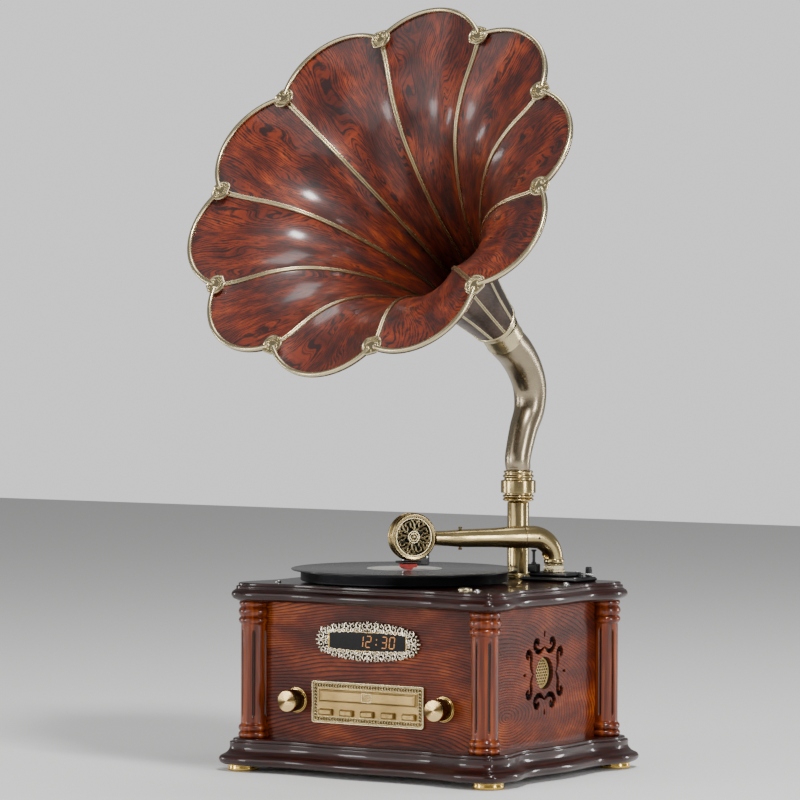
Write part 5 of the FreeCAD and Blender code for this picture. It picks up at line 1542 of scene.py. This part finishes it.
def soft_light(name, at, aim, size, power):
    """A rectangular soft light that looks at a point."""
    lamp = bpy.data.lights.new(name, "AREA")
    lamp.shape = "RECTANGLE"
    lamp.size, lamp.size_y = size
    lamp.energy = power
    thing = bpy.data.objects.new(name, lamp)
    way = np.array(at, float) - np.array(aim, float)
    thing.matrix_world = Matrix.Translation(at) @ Vector(way).to_track_quat("Z", "Y").to_matrix().to_4x4()
    bpy.context.scene.collection.objects.link(thing)


def make_stage(sizes):
    """A pale floor, an even white surround, seven soft lights and the camera. The surround shows at full
    strength and lights the object at a little over a quarter of it."""
    world = bpy.data.worlds.new("studio")
    bpy.context.scene.world = world
    world.use_nodes = True
    tree = world.node_tree
    ground = tree.nodes["Background"]
    ground.inputs["Color"].default_value = srgb("#ffffff")
    seen = add(tree, "LightPath").outputs["Is Camera Ray"]
    strength = add(tree, "MapRange", None, {0: seen, 3: 0.28, 4: 1.0})
    tree.links.new(strength.outputs[0], ground.inputs["Strength"])
    mesh = bpy.data.meshes.new("studio_floor")
    mesh.from_pydata([(-6, -6, 0), (6, -6, 0), (6, 6, 0), (-6, 6, 0)], [], [(0, 1, 2, 3)])
    floor = bpy.data.objects.new("studio_floor", mesh)
    bpy.context.scene.collection.objects.link(floor)
    paint, _, shader = new_paint("studio_floor_paint", {"Roughness": 0.9})
    shader.inputs["Base Color"].default_value = srgb("#f7f7f6")
    mesh.materials.append(paint)
    middle = (0.0, 0.0, 0.45)
    soft_light("key_softbox", (1.7, -1.3, 3.2), (0, 0, 0.6), (0.5, 0.5), sizes.key_power)
    soft_light("front_softbox", (-1.4, -4.0, 1.7), middle, (3.6, 2.6), sizes.fill_power * 1.1)
    soft_light("left_strip", (-3.2, -1.2, 0.5), (0, 0, 0.2), (0.4, 0.9), sizes.fill_power * 0.35)
    soft_light("front_strip", (-2.35, -3.4, 0.55), (0, 0, 0.2), (0.8, 0.8), sizes.fill_power * 0.6)
    soft_light("rear_strip", (2.5, 3.5, 0.75), (0, 0, 0.2), (0.4, 1.3), sizes.fill_power * 0.9)
    soft_light("right_strip", (3.4, -0.6, 1.0), (0, 0, 0.3), (0.4, 1.5), sizes.fill_power)
    soft_light("top_softbox", (0.0, 0.5, 3.2), middle, (1.2, 1.2), sizes.fill_power * 0.6)
    aim_camera()


def aim_camera():
    """The camera: 5.7 m away, turned 33.7 degrees to the right of square on and 1.2 degrees down. The
    object's origin lies 40 mm to the right of its line of sight and 492 mm below it."""
    yaw, pitch, roll = 0.5889, 0.02102, -0.00386
    forward = np.array([-math.sin(yaw) * math.cos(pitch), math.cos(yaw) * math.cos(pitch), -math.sin(pitch)])
    right = np.array([math.cos(yaw), math.sin(yaw), 0.0])
    down = np.cross(forward, right)
    right, down = (math.cos(roll) * right + math.sin(roll) * down,
                   -math.sin(roll) * right + math.cos(roll) * down)
    turn = np.stack([right, down, forward])
    origin_seen = np.array([0.03977, 0.4920, 5.67667])
    spot = -turn.T @ origin_seen
    lens = bpy.data.cameras.new("studio_camera")
    lens.sensor_width = 36.0
    lens.lens = 191.347
    lens.clip_end = 50
    camera = bpy.data.objects.new("studio_camera", lens)
    camera.matrix_world = Matrix((
        (right[0], -down[0], -forward[0], spot[0]), (right[1], -down[1], -forward[1], spot[1]),
        (right[2], -down[2], -forward[2], spot[2]), (0, 0, 0, 1)))
    bpy.context.scene.collection.objects.link(camera)
    bpy.context.scene.camera = camera


# ---------------------------------------------------------------- add-on

class GramophoneSizes(bpy.types.PropertyGroup):
    """What a user may change before building."""
    wave: bpy.props.FloatProperty(
        name="Moulding wave",
        description="How far the base and cornice bow in and out along each side, in millimetres",
        default=4.0, min=0.0, max=4.0)
    brass_hex: bpy.props.StringProperty(
        name="Brass colour", description="Colour of the polished brass, as a hex value", default="#d9b66a")
    key_power: bpy.props.FloatProperty(
        name="Key light", description="Power of the main soft light", default=95.0, min=0.0, unit="POWER")
    fill_power: bpy.props.FloatProperty(
        name="Fill light", description="Power of the side and top soft lights", default=45.0, min=0.0,
        unit="POWER")


def build(context, *makers):
    """Run the functions that make an operator's pieces. A fault in one of them stops the script."""
    if not PAINTS:
        make_paints(context.scene.gramophone)
    for maker in makers:
        maker(context.scene.gramophone)
    return {"FINISHED"}


class GRAMOPHONE_OT_stage(bpy.types.Operator):
    """Build the floor, the lights and the camera"""
    bl_idname = "gramophone.stage"
    bl_label = "Stage and camera"

    def execute(self, context):
        return build(context, make_stage)


class GRAMOPHONE_OT_base(bpy.types.Operator):
    """Build the stepped plinth that the columns stand on"""
    bl_idname = "gramophone.base"
    bl_label = "Base moulding"

    def execute(self, context):
        return build(context, make_base)


class GRAMOPHONE_OT_top(bpy.types.Operator):
    """Build the cornice and the deck board that it frames"""
    bl_idname = "gramophone.top"
    bl_label = "Cornice and deck"

    def execute(self, context):
        return build(context, make_top)


class GRAMOPHONE_OT_columns(bpy.types.Operator):
    """Build the four fluted columns"""
    bl_idname = "gramophone.columns"
    bl_label = "Columns"

    def execute(self, context):
        return build(context, make_columns)


class GRAMOPHONE_OT_side_panels(bpy.types.Operator):
    """Build the pierced side panels"""
    bl_idname = "gramophone.side_panels"
    bl_label = "Side panels"

    def execute(self, context):
        return build(context, make_side_panels)


class GRAMOPHONE_OT_grilles(bpy.types.Operator):
    """Build the brass mesh behind the speaker holes"""
    bl_idname = "gramophone.grilles"
    bl_label = "Speaker grilles"

    def execute(self, context):
        return build(context, make_grilles)


class GRAMOPHONE_OT_feet(bpy.types.Operator):
    """Build the four brass feet"""
    bl_idname = "gramophone.feet"
    bl_label = "Feet"

    def execute(self, context):
        return build(context, make_feet)


class GRAMOPHONE_OT_display(bpy.types.Operator):
    """Build the display's cast frame, its window and its lit figures"""
    bl_idname = "gramophone.display"
    bl_label = "Display"

    def execute(self, context):
        return build(context, make_bezel, make_display)


class GRAMOPHONE_OT_control_plate(bpy.types.Operator):
    """Build the bordered plate that holds the tray and the keys"""
    bl_idname = "gramophone.control_plate"
    bl_label = "Control plate"

    def execute(self, context):
        return build(context, make_control_plate)


class GRAMOPHONE_OT_keys(bpy.types.Operator):
    """Build the five push keys"""
    bl_idname = "gramophone.keys"
    bl_label = "Keys"

    def execute(self, context):
        return build(context, make_keys)


class GRAMOPHONE_OT_tray(bpy.types.Operator):
    """Build the disc tray and its front"""
    bl_idname = "gramophone.tray"
    bl_label = "Disc tray"

    def execute(self, context):
        return build(context, make_tray_front)


class GRAMOPHONE_OT_knobs(bpy.types.Operator):
    """Build the two control knobs and their collars"""
    bl_idname = "gramophone.knobs"
    bl_label = "Knobs"

    def execute(self, context):
        return build(context, make_knobs)


class GRAMOPHONE_OT_turntable(bpy.types.Operator):
    """Build the platter, the record, the pulley and the belt"""
    bl_idname = "gramophone.turntable"
    bl_label = "Turntable"

    def execute(self, context):
        return build(context, make_turntable)


class GRAMOPHONE_OT_tonearm(bpy.types.Operator):
    """Build the tonearm's foot, neck and tube"""
    bl_idname = "gramophone.tonearm"
    bl_label = "Tonearm"

    def execute(self, context):
        return build(context, make_arm_base, make_elbow_tube, make_arm_tube)


class GRAMOPHONE_OT_sound_box(bpy.types.Operator):
    """Build the sound box, its openwork face, its cartridge and its stylus"""
    bl_idname = "gramophone.sound_box"
    bl_label = "Sound box"

    def execute(self, context):
        return build(context, make_sound_box, make_cartridge)


class GRAMOPHONE_OT_fittings(bpy.types.Operator):
    """Build the arm rest, speed knob, lever, adapter ring and screws"""
    bl_idname = "gramophone.fittings"
    bl_label = "Deck fittings"

    def execute(self, context):
        return build(context, make_deck_fittings)


class GRAMOPHONE_OT_petals(bpy.types.Operator):
    """Build the ten petals of the horn"""
    bl_idname = "gramophone.petals"
    bl_label = "Horn petals"

    def execute(self, context):
        return build(context, make_petals)


class GRAMOPHONE_OT_horn_trim(bpy.types.Operator):
    """Build the horn's ribs, rim and medallions"""
    bl_idname = "gramophone.horn_trim"
    bl_label = "Horn trim"

    def execute(self, context):
        return build(context, make_ribs, make_rim, make_medallions)


class GRAMOPHONE_OT_horn_neck(bpy.types.Operator):
    """Build the throat ring and the swan neck"""
    bl_idname = "gramophone.horn_neck"
    bl_label = "Horn neck"

    def execute(self, context):
        return build(context, make_neck)


class GRAMOPHONE_OT_post(bpy.types.Operator):
    """Build the post, its flange and the collar that turns on it"""
    bl_idname = "gramophone.post"
    bl_label = "Post and collar"

    def execute(self, context):
        return build(context, make_post)


class GRAMOPHONE_OT_works(bpy.types.Operator):
    """Give the plain panels, boards and works their finishes"""
    bl_idname = "gramophone.works"
    bl_label = "Panels and works"

    def execute(self, context):
        return build(context, paint_plain_nodes)


OPERATORS = (
    GRAMOPHONE_OT_stage, GRAMOPHONE_OT_base, GRAMOPHONE_OT_top, GRAMOPHONE_OT_columns,
    GRAMOPHONE_OT_side_panels, GRAMOPHONE_OT_grilles, GRAMOPHONE_OT_feet, GRAMOPHONE_OT_display,
    GRAMOPHONE_OT_control_plate, GRAMOPHONE_OT_keys, GRAMOPHONE_OT_tray, GRAMOPHONE_OT_knobs,
    GRAMOPHONE_OT_turntable, GRAMOPHONE_OT_tonearm, GRAMOPHONE_OT_sound_box, GRAMOPHONE_OT_fittings,
    GRAMOPHONE_OT_petals, GRAMOPHONE_OT_horn_trim, GRAMOPHONE_OT_horn_neck, GRAMOPHONE_OT_post,
    GRAMOPHONE_OT_works,
)


class GRAMOPHONE_PT_build(bpy.types.Panel):
    """Lists the sizes and one button for each group of pieces."""
    bl_idname = "GRAMOPHONE_PT_build"
    bl_label = "Gramophone"
    bl_space_type = "VIEW_3D"
    bl_region_type = "UI"
    bl_category = "Gramophone"

    def draw(self, context):
        sizes = context.scene.gramophone
        for name in sizes.bl_rna.properties.keys():
            if name not in ("rna_type", "name"):
                self.layout.prop(sizes, name)
        for step in OPERATORS:
            self.layout.operator(step.bl_idname)


def register():
    for made in (GramophoneSizes, *OPERATORS, GRAMOPHONE_PT_build):
        bpy.utils.register_class(made)
    bpy.types.Scene.gramophone = bpy.props.PointerProperty(type=GramophoneSizes)


def unregister():
    del bpy.types.Scene.gramophone
    for made in (GRAMOPHONE_PT_build, *reversed(OPERATORS), GramophoneSizes):
        bpy.utils.unregister_class(made)


def main():
    """Build every piece in order."""
    register()
    for step in OPERATORS:
        group, name = step.bl_idname.split(".")
        getattr(getattr(bpy.ops, group), name)()


if __name__ == "__main__":
    main()
